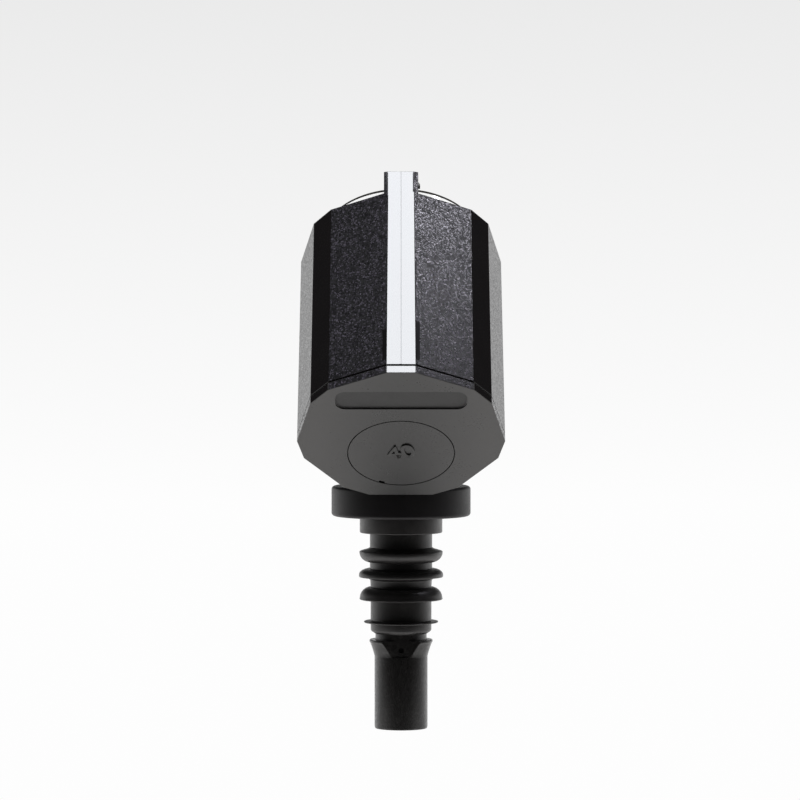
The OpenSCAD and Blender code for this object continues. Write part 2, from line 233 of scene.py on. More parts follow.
def use_modifier(piece: Piece, kind: str, **settings: object) -> None:
    """Adds one modifier with its settings and applies it.

    Args:
        piece: The object that gets the modifier.
        kind: Blender's name for the modifier.
        **settings: The modifier's own values.
    """
    take(piece)
    tool = piece.modifiers.new(kind.lower(), kind)
    for key, value in settings.items():
        setattr(tool, key, value)
    bpy.ops.object.modifier_apply(modifier=tool.name)


def work(piece: Piece, other: Piece, how: Cut) -> Piece:
    """Cuts, joins or trims a piece with another shape, which is used up.

    Args:
        piece: The object that stays.
        other: The shape that works on it.
        how: Whether the shape is cut away, joined on or kept as the common part.

    Returns:
        The piece.
    """
    use_modifier(piece, "BOOLEAN", operation=how.value, object=other, solver="EXACT")
    bpy.data.objects.remove(other)
    return piece


def smooth(piece: Piece, angle: float = 30.0) -> None:
    """Shades a piece smooth, apart from edges sharper than an angle in degrees."""
    take(piece)
    bpy.ops.object.shade_smooth_by_angle(angle=math.radians(angle))


def crisp(piece: Piece, angle: float = 50.0) -> None:
    """Shades the rounded edges of a piece smooth and keeps its flat faces flat."""
    smooth(piece, angle)
    use_modifier(piece, "WEIGHTED_NORMAL", mode="FACE_AREA", weight=90, keep_sharp=True)


def arc(centre: Ring, radius: float, start: float, end: float, steps: int = 6) -> list[Ring]:
    """Rings along a round stretch of a turned profile, between two angles from outward towards up."""
    angles = [math.radians(start + (end - start) * step / steps) for step in range(steps + 1)]
    return [(centre[0] + radius * math.cos(a), centre[1] + radius * math.sin(a)) for a in angles]


def band(hole: float, side: float, low: float, high: float, soft: Sequence[float]) -> list[Ring]:
    """Rings of a plain tube.

    Args:
        hole: Radius of its bore.
        side: Radius of its outside.
        low: Lower level.
        high: Upper level.
        soft: Widths of its softened edges: inner low, outer low, outer high and inner high.

    Returns:
        The rings, in order round the profile.
    """
    a, b, c, d = soft
    corners = [
        (hole, low + a), (hole + a, low), (side - b, low), (side, low + b),
        (side, high - c), (side - c, high), (hole + d, high), (hole, high - d),
    ]
    return list(dict.fromkeys(corners))


def turned(name: str, rings: Sequence[Ring], sides: int = 96) -> Piece:
    """Turns a piece about the vertical axis, ring by ring.

    A profile that starts and ends at the axis is closed by a pole at each end, and any other profile
    closes on itself.

    Args:
        name: The piece's name.
        rings: (distance from the axis, level) of each ring, in order round the profile.
        sides: Number of sides of a ring.

    Returns:
        The closed piece.
    """
    clear_selection()
    has_poles = rings[0][0] == 0 and rings[-1][0] == 0
    steps = list(rings[1:-1]) if has_poles else [*rings, rings[0]]
    radius, level = steps[0]
    bpy.ops.mesh.primitive_circle_add(vertices=sides, radius=radius, location=(0, 0, level))
    piece = settle(named(bpy.context.object, name))
    with shaping(piece):
        bpy.ops.mesh.select_all(action="SELECT")
        if has_poles:
            bpy.ops.mesh.extrude_region_move(TRANSFORM_OT_translate={"value": (0, 0, rings[0][1] - level)})
            bpy.ops.mesh.merge(type="CENTER")
            pick(piece, Kind.VERTS, lambda p, n: math.hypot(p.x, p.y) > radius / 2)
            bpy.ops.mesh.select_mode(type="EDGE")
        for next_radius, next_level in steps[1:]:
            bpy.ops.mesh.extrude_region_move(TRANSFORM_OT_translate={"value": (0, 0, next_level - level)})
            grow = next_radius / radius
            bpy.ops.transform.resize(value=(grow, grow, 1), center_override=(0, 0, next_level))
            radius, level = next_radius, next_level
        if has_poles:
            bpy.ops.mesh.extrude_region_move(TRANSFORM_OT_translate={"value": (0, 0, rings[-1][1] - level)})
            bpy.ops.mesh.merge(type="CENTER")
    close_up(piece)
    return piece


def rod(name: str, radius: float, low: float, high: float, sides: int = 96) -> Piece:
    """Makes a round bar about the vertical axis, used as a cutting shape.

    Args:
        name: The shape's name.
        radius: Radius of the bar.
        low: Lower level.
        high: Upper level.
        sides: Number of sides.

    Returns:
        The bar.
    """
    clear_selection()
    middle = (0, 0, (low + high) / 2)
    bpy.ops.mesh.primitive_cylinder_add(vertices=sides, radius=radius, depth=high - low, location=middle)
    return settle(named(bpy.context.object, name))


def bar(name: str, low: Sequence[float], high: Sequence[float]) -> Piece:
    """Makes a square bar, used as a cutting shape or as the start of a piece.

    Args:
        name: The shape's name.
        low: Lowest corner.
        high: Highest corner.

    Returns:
        The bar.
    """
    clear_selection()
    low, high = Vector(low), Vector(high)
    bpy.ops.mesh.primitive_cube_add(size=1, location=(low + high) / 2, scale=high - low)
    return settle(named(bpy.context.object, name))


def spin(degrees: float, axis: str = "Z") -> Matrix:
    """A turn about one of the frame's axes."""
    return Matrix.Rotation(math.radians(degrees), 4, axis)


def reach(node: str, along: Vector) -> Span:
    """Lowest and highest place of a CAD node along a direction."""
    places = [v.co.dot(along) for v in frame["nodes"][node].data.vertices]
    return min(places), max(places)


def half_width(node: str) -> float:
    """Half of a CAD node's width from side to side, which is a round node's radius."""
    low, high = reach(node, SIDEWAYS)
    return (high - low) / 2


# Finishes


@dataclass
class Tree:
    """The nodes of a material or of the room's backdrop."""

    tree: bpy.types.NodeTree

    def feed(self, node: bpy.types.Node, inputs: dict[str | int, object]) -> None:
        """Links or sets a node's inputs.

        Args:
            node: The node.
            inputs: What each input gets: an output of another node, or a value.
        """
        for key, value in inputs.items():
            if isinstance(value, Socket):
                self.tree.links.new(value, node.inputs[key])
            else:
                node.inputs[key].default_value = value

    def add(self, kind: str, inputs: dict[str | int, object], out: str | int = 0, **choices: object) -> Socket:
        """Adds a node and feeds it.

        Args:
            kind: The node's type.
            inputs: What each input gets.
            out: The output that is wanted.
            **choices: The node's own settings.

        Returns:
            That output.
        """
        node = self.tree.nodes.new("ShaderNode" + kind)
        for key, value in choices.items():
            setattr(node, key, value)
        self.feed(node, inputs)
        return node.outputs[out]

    def math(self, operation: str, *values: Socket | float, clamp: bool = False) -> Socket:
        """Works out a value from other values."""
        return self.add("Math", dict(enumerate(values)), operation=operation, use_clamp=clamp)

    def mix(self, share: Socket, first: Socket | Colour, second: Socket | Colour) -> Socket:
        """Mixes two colours, through the node's sockets for colours."""
        tones = [tone if isinstance(tone, Socket) else (*tone, 1) for tone in (first, second)]
        return self.add("Mix", {0: share, 6: tones[0], 7: tones[1]}, 2, data_type="RGBA")

    def ramp(self, value: Socket, old: Span, new: Span, curve: Curve = Curve.STRAIGHT) -> Socket:
        """Maps a value from one range to another."""
        ends = dict(zip(("From Min", "From Max", "To Min", "To Max"), (*old, *new)))
        return self.add("MapRange", {"Value": value, **ends}, "Result", interpolation_type=curve.value)

    def noise(self, place: Socket, size: float, detail: float, rough: float) -> Socket:
        """Adds a noise whose blotches have a size in metres."""
        looks = {"Vector": place, "Scale": 1 / size, "Detail": detail, "Roughness": rough}
        return self.add("TexNoise", looks, "Fac")

    def length(self, place: Socket) -> Socket:
        """Distance of a place from the origin."""
        return self.add("VectorMath", {0: place}, "Value", operation="LENGTH")


@dataclass(frozen=True)
class Finish:
    """A moulded or turned finish with its own mottle, gloss variation and surface grain; some add painted
    glints on the grain and a painted shade zone.
    """

    name: str
    slot: str
    dark: Colour
    light: Colour
    gloss: Span  # lowest and highest roughness
    mottle: float = 6 * MM  # size of the mottle
    grain: float = 0.3 * MM  # size of the surface grain
    depth: float = 0.01 * MM  # height of the grain
    strength: float = 0.4  # strength of the grain's bump
    metal: float = 0.0
    clear: float = 0.0  # share of light that passes through
    cover: float = 1.0  # share of the surface that isn't simply open to light
    index: float = 1.5
    shine: float = 0.5  # strength of the mirror share
    coat: float = 0.0
    coat_index: float = 1.5  # index of refraction of that coat
    painted_glint: Colour | None = None  # colour of the painted glints, pale points painted on the grain in place of its glints, or None for an even tone
    # middle and half sizes of a painted shade zone, in which the colour is painted darker towards the middle
    # and paler towards the edge, or None
    painted_shade_zone: tuple[Place, Place] | None = None
    mottle_look: Span = (4.0, 0.55)  # detail and roughness of the mottle
    grain_look: Span = (2.0, 0.6)  # detail and roughness of the grain
    painted_glint_range: Span = (0.7, 1.0)  # range of a grain's chance value over which its painted glint comes in
    wear: Span = (0.1, 0.4)  # range of mottle times grain over which the gloss runs
    painted_shade_tones: Span = (-0.15, 0.85)  # share of the paler colour at the painted shade zone's middle and at its edge
    painted_shade_mottle: float = 0.3  # weight of the mottle within these

    def material(self) -> bpy.types.Material:
        """Makes the node material, once.

        Returns:
            The material.
        """
        known = bpy.data.materials.get(self.name)
        if known is not None:
            return known
        made = bpy.data.materials.new(self.name)
        made.use_nodes = True
        tree = Tree(made.node_tree)
        place = tree.add("TexCoord", {}, "Object")
        mottle = tree.noise(place, self.mottle, *self.mottle_look)
        grain = tree.noise(place, self.grain, *self.grain_look)
        # Painted shade: with a shade zone, the colour is painted darker towards the zone's middle.
        share = mottle if self.painted_shade_zone is None else self._painted_shade(tree, place, mottle)
        tone = tree.mix(share, self.dark, self.light)
        if self.painted_glint is None:
            rough = tree.ramp(tree.math("MULTIPLY", mottle, grain), self.wear, self.gloss)
        else:
            # Painted glints: pale points painted into the colour on the grain's cells, standing in for the
            # grain's glints.
            cells = tree.add("TexVoronoi", {"Vector": place, "Scale": 1 / self.grain}, "Color")
            chance = tree.add("SeparateColor", {"Color": cells}, "Red")
            tone = tree.mix(tree.ramp(chance, self.painted_glint_range, (0, 1)), tone, self.painted_glint)
            rough = tree.ramp(chance, (0, 1), self.gloss[::-1])
        bump = tree.add("Bump", {"Strength": self.strength, "Distance": self.depth, "Height": grain}, "Normal")
        tree.feed(made.node_tree.nodes["Principled BSDF"], {
            "Base Color": tone, "Roughness": rough, "Normal": bump, "Metallic": self.metal, "IOR": self.index,
            "Transmission Weight": self.clear, "Alpha": self.cover, "Specular IOR Level": self.shine,
            "Coat Weight": self.coat, "Coat IOR": self.coat_index,
        })
        return made

    def _painted_shade(self, tree: Tree, place: Socket, mottle: Socket) -> Socket:
        """Paints shade into the colour: darker at the shade zone's middle and paler away from it.

        Args:
            tree: The material's nodes.
            place: Where the pattern is read.
            mottle: The mottle's value.

        Returns:
            The share of the paler colour.
        """
        middle, sizes = self.painted_shade_zone
        start = [-m / s for m, s in zip(middle, sizes)]
        within = tree.add("Mapping", {"Vector": place, "Location": start, "Scale": [1 / s for s in sizes]})
        paler = tree.ramp(tree.length(within), (0, 1), self.painted_shade_tones)
        return tree.math("MULTIPLY_ADD", mottle, self.painted_shade_mottle, paler, clamp=True)

    def lay(self, piece: Piece, test: Picker | None = None) -> None:
        """Lays the finish on a bare piece, or on some faces of one that has another finish.

        Args:
            piece: The object to finish.
            test: Takes a face's middle and normal, or None for the whole of a bare piece.
        """
        materials = piece.data.materials
        if materials.find(self.name) < 0:
            materials.append(self.material())
        if test is not None:
            with shaping(piece):
                pick(piece, Kind.FACES, test)
                piece.active_material_index = materials.find(self.name)
                bpy.ops.object.material_slot_assign()


# Painted glints: the pale fleck colour of this finish stands in for the grain's glints, the brightest of the
# three.
GRAINED = Finish(
    "grained black", "chamber_plastic", (0.003, 0.0027, 0.0033), (0.006, 0.0054, 0.0065), (0.14, 0.60),
    grain=0.28 * MM, depth=0.05 * MM, strength=0.6, shine=0.4, painted_glint=(0.10, 0.091, 0.11),
)
# Painted glints: the pale fleck colour of this finish stands in for the grain's glints.
FINE_GRAINED = Finish(
    "fine grained black", "chamber_plastic", (0.005, 0.0045, 0.0055), (0.009, 0.008, 0.0095), (0.26, 0.44),
    grain=0.33 * MM, depth=0.03 * MM, strength=0.4, shine=0.4, painted_glint=(0.03, 0.027, 0.033),
)
POLISHED = Finish(
    "polished black", "chamber_plastic", (0.0065, 0.0055, 0.0057), (0.009, 0.0078, 0.008), (0.05, 0.10),
    grain=7 * MM, depth=0.012 * MM, strength=0.3,
)
DULL = Finish(
    "dull black", "chamber_plastic", (0.0045, 0.004, 0.0042), (0.007, 0.0064, 0.0066), (0.40, 0.50),
    grain=2 * MM, depth=0.01 * MM, shine=0.08,
)
SATIN = Finish(
    "satin black", "cap_plastic", (0.006, 0.0058, 0.0055), (0.056, 0.054, 0.052), (0.26, 0.36),
    mottle=9 * MM, grain=0.5 * MM, depth=0.006 * MM,
    # painted shade: satin pieces are painted darker along the middle near x = 0 and paler towards the sides
    painted_shade_zone=((0, -18 * MM, 6 * MM), (21 * MM, 84 * MM, 84 * MM)),
)
PANEL = Finish(
    "panel black", "cap_plastic", (0.013, 0.0125, 0.012), (0.019, 0.018, 0.017), (0.44, 0.56),
    mottle=3 * MM, grain=0.35 * MM, depth=0.02 * MM,
)
COLLAR_BLACK = Finish(
    "collar black", "collar_plastic", (0.009, 0.0078, 0.0084), (0.013, 0.0115, 0.0128), (0.42, 0.54),
    grain=0.45 * MM, depth=0.012 * MM, shine=0.3,
)
RUBBER = Finish(
    "stopper rubber", "stopper_rubber", (0.015, 0.0135, 0.013), (0.023, 0.021, 0.0205), (0.34, 0.52),
    mottle=3 * MM, grain=0.35 * MM, depth=0.02 * MM, shine=0.68,
)
SEAL = Finish(
    "seal rubber", "seal_rubber", (0.006, 0.006, 0.006), (0.012, 0.012, 0.012), (0.5, 0.7),
    mottle=2 * MM, grain=0.3 * MM, depth=0.02 * MM,
)
# Painted glints: the pale fleck colour of this finish stands in for the grain's glints.
STEM_BLACK = Finish(
    "stem black", "stem_plastic", (0.007, 0.0062, 0.0058), (0.010, 0.009, 0.0086), (0.28, 0.40),
    mottle=4 * MM, grain=0.6 * MM, depth=0.06 * MM, strength=0.5, shine=0.58, painted_glint=(0.024, 0.0225, 0.022),
)
CLEAR = Finish(
    "clear plastic", "clear_plastic", (0.96, 0.975, 0.975), (0.985, 0.99, 0.99), (0.0, 0.03),
    mottle=8 * MM, grain=6 * MM, depth=0.008 * MM, strength=0.2, clear=1.0, cover=0.2, index=1.15, coat=1.0,
    coat_index=2.2,
)
# Painted shade: an opaque dark colour on the clear cap's rounded rim, standing in for the dark edge that the
# clear plastic shows there.
CLEAR_RIM_PAINTED_SHADE = Finish(
    "clear plastic rim painted shade", "clear_plastic", (0.020, 0.019, 0.016), (0.030, 0.029, 0.024), (0.30, 0.40),
    mottle=8 * MM, grain=6 * MM, depth=0.008 * MM, strength=0.2, shine=0.05,
)
NATURAL = Finish(
    "natural plastic", "inner_plastic", (0.60, 0.59, 0.54), (0.70, 0.69, 0.65), (0.34, 0.48),
    mottle=5 * MM, grain=0.5 * MM, depth=0.01 * MM,
)
STEEL = Finish(
    "ball steel", "ball_steel", (0.58, 0.59, 0.60), (0.68, 0.69, 0.70), (0.10, 0.2),
    mottle=2 * MM, grain=0.6 * MM, depth=0.004 * MM, metal=1.0,
)


class SubAssembly:
    """What the sub-assemblies share: each models its pieces and dresses them."""

    def build(self) -> list[Piece]:
        """Models and dresses the pieces, in order."""
        raise NotImplementedError

    @staticmethod
    def dress(piece: Piece, finish: Finish, node: str | None = None, body: str = ROOT_BODY) -> Piece:
        """Finishes a piece, lets it ride on its body and stand for its CAD node.

        Args:
            piece: The modelled piece.
            finish: Its main finish.
            node: The CAD node that it replaces, or None for a piece that is only added.
            body: The CAD body that it rides on.

        Returns:
            The piece.
        """
        if not any(piece.data.materials):
            piece.data.materials.clear()
            finish.lay(piece)
        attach(piece, body)
        if node is not None:
            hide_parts(node)
        return piece


# The leaning chamber


@dataclass
class Section:
    """The chamber's section: wide and narrow facets in turn, measured on the CAD solids."""

    pairs: int = 7
    narrow_angle: float = 15.8  # angle that a narrow facet spans at the axis, in degrees
    skin: float = 0.98  # share of the wide facets' distance beyond which a place is on the outside
    lean: Vector = field(init=False)
    across: Vector = field(init=False)  # direction away from the spout's side, square to the axis
    base: Vector = field(init=False)
    radius: float = field(init=False)  # distance of a corner from the axis

    def __post_init__(self) -> None:
        """Measures the chamber's axis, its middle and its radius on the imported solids."""
        travel = next(j for j in frame["joints"] if j["child"] == "shut_off_ball")
        self.lean = Vector(travel["axis"]).normalized()
        self.across = SIDEWAYS.cross(self.lean) * -1
        front, back = reach("base_cap", self.across)
        self.radius = (back - front) / (math.cos(self.half_narrow) + math.cos(self.half_wide))
        middle = front + self.radius * math.cos(self.half_narrow)
        self.base = self.lean * reach("base_cap", self.lean)[0] + self.across * middle

    @property
    def half_narrow(self) -> float:
        """Half of the angle that a narrow facet spans."""
        return math.radians(self.narrow_angle / 2)

    @property
    def half_wide(self) -> float:
        """Half of the angle that a wide facet spans."""
        return math.pi / self.pairs - self.half_narrow

    @property
    def narrow_apothem(self) -> float:
        """Distance of a narrow facet from the axis."""
        return self.radius * math.cos(self.half_narrow)

    @property
    def wide_apothem(self) -> float:
        """Distance of a wide facet from the axis."""
        return self.radius * math.cos(self.half_wide)

    @property
    def half_flat(self) -> float:
        """Half of a narrow facet's width."""
        return self.radius * math.sin(self.half_narrow)

    @property
    def rim(self) -> float:
        """Distance from the axis beyond which a place is on the outside."""
        return self.wide_apothem * self.skin

    @property
    def seam(self) -> float:
        """Level of the seam between the base cover and the chamber."""
        return self.level("chamber_body")[0]

    @property
    def far(self) -> float:
        """Level of the chamber's far end."""
        return self.level("breather_tube")[1]

    @property
    def place(self) -> Matrix:
        """Turns the chamber's own frame into the part's frame."""
        axes = Matrix((SIDEWAYS, self.across, self.lean)).transposed()
        return Matrix.Translation(self.base) @ axes.to_4x4()

    def level(self, node: str) -> Span:
        """Lowest and highest level of a CAD node above the base face."""
        start = self.base.dot(self.lean)
        return tuple(end - start for end in reach(node, self.lean))

    def middle(self, node: str) -> Vector:
        """Middle of a CAD node across the chamber, in the chamber's own frame."""
        sides, depth = reach(node, SIDEWAYS), reach(node, self.across)
        return Vector((sum(sides) / 2, sum(depth) / 2 - self.base.dot(self.across), 0))

    def hole(self, node: str) -> float:
        """Radius of the hole in a round CAD node of the chamber."""
        turn, middle = self.place.inverted(), self.middle(node)
        return min((turn @ v.co - middle).xy.length for v in frame["nodes"][node].data.vertices)

    def prism(self, name: str, inset: float, low: float, high: float) -> Piece:
        """A faceted prism with every facet moved inwards.

        Args:
            name: The shape's name.
            inset: Distance by which the facets move inwards.
            low: Lower level.
            high: Upper level.

        Returns:
            The prism, in the chamber's own frame.
        """
        pair = math.pi / self.pairs
        out = self.narrow_apothem - inset
        side = (self.wide_apothem - inset - out * math.cos(pair)) / math.sin(pair)
        clear_selection()
        bpy.ops.mesh.primitive_cylinder_add(
            vertices=2 * self.pairs, radius=math.hypot(out, side), depth=high - low,
            location=(0, 0, (low + high) / 2), rotation=(0, 0, pair / 2),
        )
        shape = settle(named(bpy.context.object, name))
        for hand in (1, -1):
            with shaping(shape):
                pick(shape, Kind.VERTS, lambda p, n: self._hand(p) == hand)
                bpy.ops.transform.rotate(
                    value=hand * (pair / 2 - math.atan2(side, out)), orient_axis="Z", center_override=(0, 0, 0)
                )
        return shape

    def outside(self, place: Vector) -> bool:
        """Whether a place is on the chamber's outside."""
        return place.xy.length > self.rim

    def _turns(self, way: Vector) -> float:
        """Angle of a direction from the top facet, counted in pairs of facets."""
        return (math.atan2(way.y, way.x) + math.pi / 2) / (2 * math.pi / self.pairs)

    def _hand(self, point: Vector) -> int:
        """Side of the nearest narrow facet on which a corner lies: 1 or -1."""
        turns = self._turns(point)
        return 1 if turns > round(turns) else -1

    def _straight(self, normal: Vector, turns_off: float) -> bool:
        """Whether a face stands upright and looks out of a facet, within a degree."""
        return abs(normal.z) < UPRIGHT and abs(turns_off) * 360 / self.pairs < 1.0

    def is_narrow(self, normal: Vector) -> bool:
        """Whether a face looks straight out of a narrow facet."""
        turns = self._turns(normal)
        return self._straight(normal, turns - round(turns))

    def is_wide(self, normal: Vector) -> bool:
        """Whether a face looks straight out of a wide facet."""
        turns = self._turns(normal)
        return self._straight(normal, turns - math.floor(turns) - 0.5)


@dataclass
class Chamber(SubAssembly):
    """The faceted measuring chamber with its spout."""

    section: Section
    wall: float = 1.6 * MM
    end_wall: float = 2 * MM
    spout_w: float = 8 * MM
    spout_depth: float = 4.7 * MM
    spout_wall: float = 1 * MM
    spout_trim: float = 0.3 * MM  # distance by which the spout's flat front stops short on its right
    ring_h: float = 2.4 * MM  # height of the ring that the clear cap is pushed over
    ring_wall: float = 1.2 * MM
    draft: float = 0.99  # width of the far end as a share of the base end's
    taper: float = 0.24 * MM  # distance by which the top facet's edges draw in towards the spout
    # lengths of the margins without grain to the left and the right of the top facet
    margins: Span = (8.9 * MM, 11.2 * MM)
    margin_w: float = 0.95 * MM
    margin_up: float = 1.5 * MM  # distance of those margins from the seam
    # rise, height and level above the far end of the moulding mark on the spout's side
    gate: tuple[float, float, float] = (0.45 * MM, 1.3 * MM, 3.7 * MM)
    # its half depth and its slope as shares of its height, and its rounding as a share of its rise
    gate_shape: tuple[float, float, float] = (0.75, 0.6, 0.2)
    edge: float = 0.12 * MM
    far_edge: float = 0.04 * MM
    seam_edge: float = 0.2 * MM
    mould_line: float = 0.06 * MM  # width of the mould's parting line on the top facet
    line_depth: float = 0.045 * MM
    line_zone: float = 0.985  # share of the top facet's distance beyond which that line runs
    coarse: float = -0.5  # how far a wide facet looks to the top to have the coarse grain
    # the two facets beside the top facet: how far they look aside, and how far they look and lie to the top
    aside: Span = (0.3, 0.55)
    steep: float = -0.8
    fit: float = 0.05 * MM  # gap between pieces that are pushed together

    @property
    def _spout_top(self) -> float:
        """Level of the spout's end."""
        return self.section.level("chamber_body")[1]

    @property
    def _spout_span(self) -> Span:
        """Front and back of the spout across the chamber."""
        front = -self.section.narrow_apothem
        return front, self.spout_depth + front

    def build(self) -> list[Piece]:
        """Models and dresses the chamber.

        Returns:
            The chamber.
        """
        section = self.section
        ring_r = section.hole("sight_seal") - self.fit
        shell = self._shell()
        work(shell, self._spout(), Cut.JOIN)
        work(shell, self._ring(ring_r), Cut.JOIN)
        for tool in self._holes(ring_r - self.ring_wall):
            work(shell, tool, Cut.AWAY)
        close_up(shell, SEAM_GAP)
        self._part_line(shell)
        POLISHED.lay(shell)
        FINE_GRAINED.lay(shell, lambda p, n: section.is_wide(n) and section.outside(p))
        GRAINED.lay(shell, lambda p, n: section.is_wide(n) and section.outside(p) and n.y < self.coarse)
        for hand, length in zip((-1, 1), self.margins):
            self._margin(shell, hand, length)
        settle(shell, section.place)
        crisp(shell)
        return [self.dress(shell, GRAINED, "chamber_body")]

    def _shell(self) -> Piece:
        """Models the hollow prism with its rounded edges.

        Returns:
            The shell, open at the base.
        """
        section, low, far = self.section, self.section.seam, self.section.far
        flat = section.half_flat
        shell = section.prism("chamber", 0, low, far)
        with shaping(shell):
            pick(shell, Kind.VERTS, lambda p, n: p.z > far - NEAR)
            bpy.ops.transform.resize(value=(self.draft, 1, 1), center_override=(0, 0, 0))
            pick(
                shell, Kind.VERTS,
                lambda p, n: p.z > far - NEAR and p.y < -section.rim and abs(p.x) < flat + NEAR,
            )
            bpy.ops.transform.resize(value=(1 - self.taper / flat, 1, 1), center_override=(0, 0, 0))
            soften(shell, self.edge, 3, lambda p, d: abs(d.z) > ALONG and section.outside(p))
            soften(shell, self.far_edge, 2, lambda p, d: p.z > far - NEAR and section.outside(p))
            soften(shell, self.seam_edge, 2, lambda p, d: p.z < low + NEAR and section.outside(p))
        inside = section.prism("chamber inside", self.wall, low - PAST, far - self.end_wall)
        return work(shell, inside, Cut.AWAY)

    def _spout(self) -> Piece:
        """Models the spout's block, whose front follows the top facet and its neighbours.

        Returns:
            The spout with its moulding mark.
        """
        slope = math.tan(math.pi / self.section.pairs)
        front, back = self._spout_span
        half, top = self.spout_w / 2, self._spout_top
        flat = self.section.half_flat * self.draft - self.taper
        sides = (flat, flat - self.spout_trim)
        front_end = front + (half - min(sides)) * slope + NEAR
        block = bar("spout", (-half, front, self.section.far - self.end_wall / 2), (half, back, top))
        with shaping(block):
            for hand, side in zip((-1, 1), sides):
                step = (half - side) * slope
                score(block, (hand * side, 0, 0), SIDEWAYS, lambda p, n: True)
                shift(block, (0, step, 0), lambda p, n: p.y < front + NEAR and hand * p.x > half - NEAR)
                shift(
                    block, (0, 0, step / 2),
                    lambda p, n: p.z > top - NEAR and hand * p.x > half - NEAR and p.y < back - NEAR,
                )
            soften(
                block, self.edge, 3,
                lambda p, d: abs(p.x) > half - NEAR and (abs(d.z) > ALONG or p.z > top - NEAR)
                or p.z > top - NEAR and not front_end <= p.y <= back - NEAR,
            )
        return work(block, self._gate_mark(), Cut.JOIN)

    def _gate_mark(self) -> Piece:
        """Models the small wedge that moulding left on the spout's right side.

        Returns:
            The wedge in the chamber's own frame.
        """
        rise, high, up = self.gate
        depth, slope, rounding = self.gate_shape
        side, middle, deep = self.spout_w / 2, sum(self._spout_span) / 2, high * depth
        low = self.section.far + up
        top = low + high
        mark = bar("gate mark", (side - rise, middle - deep, low), (side + rise, middle + deep, top))
        with shaping(mark):
            shift(mark, (0, deep, 0), lambda p, n: p.x > side and p.y < middle)
            shift(mark, (0, 0, -high * slope), lambda p, n: p.x > side and p.z > top - NEAR)
            soften(mark, rise * rounding, 2, lambda p, d: p.x > side + rise / 2)
        return mark

    def _ring(self, radius: float) -> Piece:
        """Turns the ring on the far end that the clear cap is pushed over.

        Args:
            radius: Radius of the ring.

        Returns:
            The ring, still solid.
        """
        soft = 2 * self.edge
        foot, top = self.section.far - self.end_wall / 2, self.section.far + self.ring_h
        return turned("ring", [
            (0, foot), (radius, foot), (radius, top - soft), (radius - soft / 2, top), (0, top),
        ])

    def _holes(self, window_r: float) -> list[Piece]:
        """Makes the cutting shapes for the window, the spout's channel, the breather and the neck.

        Args:
            window_r: Radius of the window under the clear cap.

        Returns:
            The shapes in the chamber's own frame.
        """
        far, (front, back) = self.section.far, self._spout_span
        foot = far - self.end_wall - PAST
        half = self.spout_w / 2 - self.spout_wall
        channel = bar(
            "channel", (-half, front + self.wall, foot), (half, back - self.spout_wall, self._spout_top + PAST)
        )
        breather = rod("breather way", half_width("breather_tube") + self.fit, foot, far + PAST, HOLE_SIDES)
        settle(breather, Matrix.Translation(self.section.middle("breather_tube")))
        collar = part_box("collar")[1].z
        corners = [v.co for v in frame["nodes"]["neck_tube"].data.vertices]
        neck_r = max(corner.xy.length for corner in corners if abs(corner.z - collar) < 2 * NEAR)
        neck = rod("neck way", neck_r + self.fit, collar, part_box("neck_tube")[1].z)
        settle(neck, self.section.place.inverted())
        return [rod("window", window_r, foot, far + self.ring_h + PAST), channel, breather, neck]

    def _part_line(self, shell: Piece) -> None:
        """Scores the mould's fine parting line along the top facet.

        Args:
            shell: The chamber.
        """
        front = -self.section.narrow_apothem * self.line_zone
        with shaping(shell):
            for side in (-self.mould_line / 2, 0, self.mould_line / 2):
                score(shell, (side, 0, 0), SIDEWAYS, lambda p, n: n.y < -STRAIGHT_ON and p.y < front, FINE)
            valley = (0, self.line_depth, 0)
            shift(shell, valley, lambda p, n: abs(p.x) < NEAR and p.y < front and n.y < -ALONG)

    def _margin(self, shell: Piece, hand: int, length: float) -> None:
        """Leaves a margin without grain on the wide facet beside the top facet.

        Args:
            shell: The chamber.
            hand: 1 for the right-hand facet and -1 for the left-hand one.
            length: Length of the margin.
        """
        section, edge = self.section, self.section.half_flat
        side = edge + self.margin_w
        low = section.seam + self.margin_up
        aside, far_aside = self.aside

        def beside(p: Vector, n: Vector) -> bool:
            """Whether a face is on that wide facet."""
            faces_it = aside < hand * n.x < far_aside and n.y < self.steep
            return faces_it and p.y < self.steep * section.rim and section.outside(p)

        def strip(p: Vector, n: Vector) -> bool:
            """Whether a face is in the strip along the top facet."""
            return beside(p, n) and edge < hand * p.x < side

        with shaping(shell):
            score(shell, (hand * side, 0, 0), SIDEWAYS, beside)
            for level in (low, low + length):
                score(shell, (0, 0, level), (0, 0, 1), strip)
        DULL.lay(shell, lambda p, n: strip(p, n) and low < p.z < low + length)


